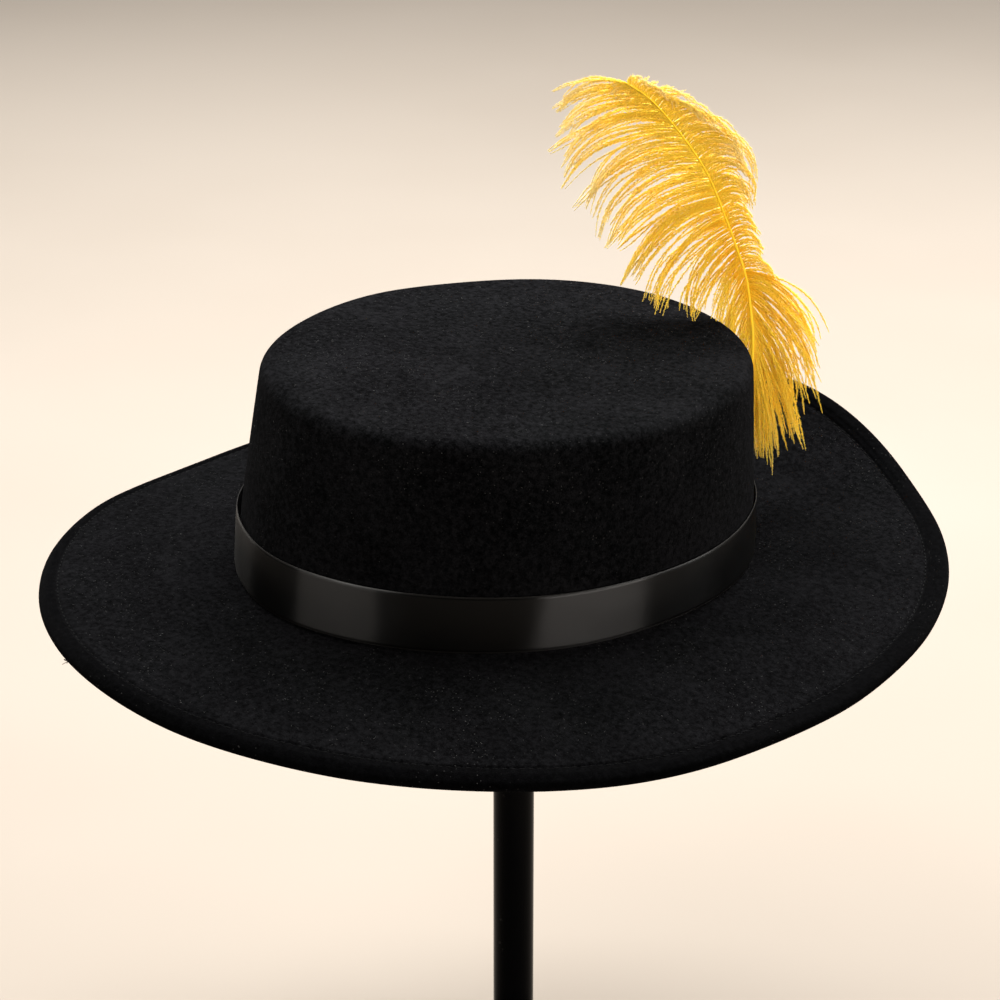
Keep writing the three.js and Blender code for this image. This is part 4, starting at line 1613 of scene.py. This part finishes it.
@dataclass(frozen=True)
class Studio:
    """A pale floor, soft lamps and the camera."""

    seat: HatSeat
    azimuth: float = 43.0
    pitch: float = 22.2
    distance: float = 1.255
    focal_pixels: float = 3467.0
    frame_pixels: float = 1000.0
    sensor: float = 36.0
    aim_lift: float = 0.001
    right: float = 0.0009
    above: float = 0.01673
    floor_size: float = 12.0
    pale: tuple[float, ...] = (0.32, 0.278, 0.235, 1)
    paler: tuple[float, ...] = (0.34, 0.298, 0.255, 1)
    # Colour of the painted shade on the floor far from the stand.
    far: tuple[float, ...] = (0.09, 0.08, 0.07, 1)
    pale_within: float = 1.9
    shade_beyond: float = 5.5
    cloud: float = 0.5
    surround: tuple[float, ...] = (0.86, 0.84, 0.8, 1)
    surround_strength: float = 0.05
    lamp_distance: float = 1.7
    lamps: tuple[Softbox, ...] = (
        Softbox("window", 98, 9, 1.3, 0.6, 18, (1.0, 0.93, 0.87)),
        Softbox("window_top", 184, 48, 1.4, 0.9, 38, (1.0, 0.99, 0.97)),
        Softbox("front_left_card", -15, 8, 1.3, 0.5, 5.5, (1.0, 0.92, 0.84)),
        Softbox("front_left_top", -48, 62, 1.2, 0.8, 18, (1.0, 0.97, 0.93)),
        Softbox("back_left_card", -98, 8, 1.2, 0.5, 2, (1.0, 0.95, 0.88)),
        Softbox("overhead", 218, 62, 1.4, 1.2, 68),
        Softbox("plume_card", 48, 38, 1.2, 1.2, 17, (1.0, 0.99, 0.96), lights_only=PLUME_GROUP),
    )

    def camera(self) -> None:
        """The camera, at the photograph's angle."""
        turn, pitch = math.radians(self.azimuth), math.radians(self.pitch)
        right = Vector((math.cos(turn), math.sin(turn), 0))
        out = math.cos(pitch)
        ahead = Vector((-math.sin(turn) * out, math.cos(turn) * out, -math.sin(pitch)))
        up = right.cross(ahead)
        foot = Vector(level(self.seat.toward)) * self.seat.shift
        foot.z = self.seat.height + self.aim_lift
        data = bpy.data.cameras.new("camera")
        data.sensor_width = self.sensor
        data.lens = self.focal_pixels / self.frame_pixels * self.sensor
        camera = linked(bpy.data.objects.new("camera", data))
        camera.location = foot + right * self.right + up * self.above - ahead * self.distance
        camera.rotation_euler = Matrix((right, up, -ahead)).transposed().to_euler()
        bpy.context.scene.camera = camera

    def light(self) -> None:
        """The lamps and a pale even surround."""
        centre = Vector((0, 0, self.seat.height))
        for lamp in self.lamps:
            turn, rise = math.radians(lamp.azimuth), math.radians(lamp.elevation)
            back = Vector((math.sin(turn) * math.cos(rise), -math.cos(turn) * math.cos(rise), math.sin(rise)))
            data = bpy.data.lights.new(lamp.name, "AREA")
            data.shape = "RECTANGLE"
            data.size, data.size_y = lamp.width, lamp.height
            data.energy = lamp.power
            data.color = lamp.colour
            made = linked(bpy.data.objects.new(lamp.name, data))
            made.location = centre + back * self.lamp_distance
            made.rotation_euler = (-back).to_track_quat("-Z", "Y").to_euler()
            if lamp.lights_only:
                made.light_linking.receiver_collection = bpy.data.collections[lamp.lights_only]
        world = bpy.data.worlds.new("studio")
        world.use_nodes = True
        background = world.node_tree.nodes["Background"].inputs
        background["Color"].default_value = self.surround
        background["Strength"].default_value = self.surround_strength
        bpy.context.scene.world = world
        bpy.context.scene.view_settings.view_transform = "Standard"

    def floor(self) -> None:
        """The pale floor that the stand stands on, with painted shade that darkens it far from the stand."""
        shape = bmesh.new()
        bmesh.ops.create_grid(shape, x_segments=1, y_segments=1, size=self.floor_size / 2)
        ground = bmesh_piece("floor", shape)
        material, shading, shader = new_material("pale_floor")
        cloud = shading.ramp(shading.noise(shading.place(), self.cloud), 0.3, 0.7)
        pale = shading.mix(cloud, self.pale, self.paler)
        away = shading.add("VectorMath", {"Vector": shading.place()}, operation="LENGTH").outputs["Value"]
        # Painted shade: the floor darkens away from the stand, reaching the far colour at its full distance.
        far = shading.ramp(away, self.pale_within, self.shade_beyond)
        shading.fill(shader, {
            "Base Color": shading.mix(far, pale, self.far),
            "Roughness": 0.9,
            "Specular IOR Level": 0.0,
        })
        ground.data.materials.append(material)


def dress_hat(seat: HatSeat, effects: SharedEffects) -> None:
    """Builds the felt, its stitching and lint, the ribbon and the plume.

    Args:
        seat: where the hat sits.
        effects: the shared node groups.
    """
    rng = np.random.default_rng(SEED)
    hat = FeltHat()
    ribbon = SatinRibbon(hat)
    stitching = HemStitching(hat)
    felt = hat.build()
    seams = [stitching.build(), stitching.build_loose_end()]
    lint = FeltLint(hat).build(rng)
    band = ribbon.build()
    loops = ribbon.build_edge_loops()
    on_felt = (felt, *seams, lint, band, loops)
    for piece in on_felt:
        Blocking().settle(piece)
    plume = OstrichPlume(Quill(hat, ribbon)).build(rng)
    for piece in (*on_felt, *plume):
        seat.seat(piece)
    thread = Thread().material(effects)
    edge_highlight = RibbonThread().material(effects)
    give(felt, WoolFelt().material(effects), ["felt_body"])
    for piece in seams:
        give(piece, thread)
    give(lint, Lint().material())
    give(band, Satin().material(effects), ["ribbon_band"])
    # The ribbon's rims take the thread's painted highlight.
    band.data.materials.append(edge_highlight)
    give(loops, edge_highlight)
    feather = DyedFeather().material(effects)
    lit = bpy.data.collections.new(PLUME_GROUP)
    for piece in plume:
        give(piece, feather, ["ostrich_plume"])
        lit.objects.link(piece)
    flat = (ribbon.width, ribbon.length)


def dress_stand(effects: SharedEffects) -> None:
    """Builds the stand.

    Args:
        effects: the shared node groups.
    """
    lacquer = Lacquer().material(effects)
    for node, piece in HatStand().build().items():
        give(piece, lacquer, [node])


def main() -> None:
    """Loads the frame, builds the hat and its stand around it, and lights them."""
    logging.basicConfig(level=logging.INFO, format="%(name)s %(relativeCreated)d ms: %(message)s")
    noise.seed_set(SEED)
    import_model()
    seat = HatSeat()
    studio = Studio(seat)
    studio.camera()
    effects = SharedEffects.make()
    dress_hat(seat, effects)
    dress_stand(effects)
    studio.floor()
    studio.light()


if __name__ == "__main__":
    main()
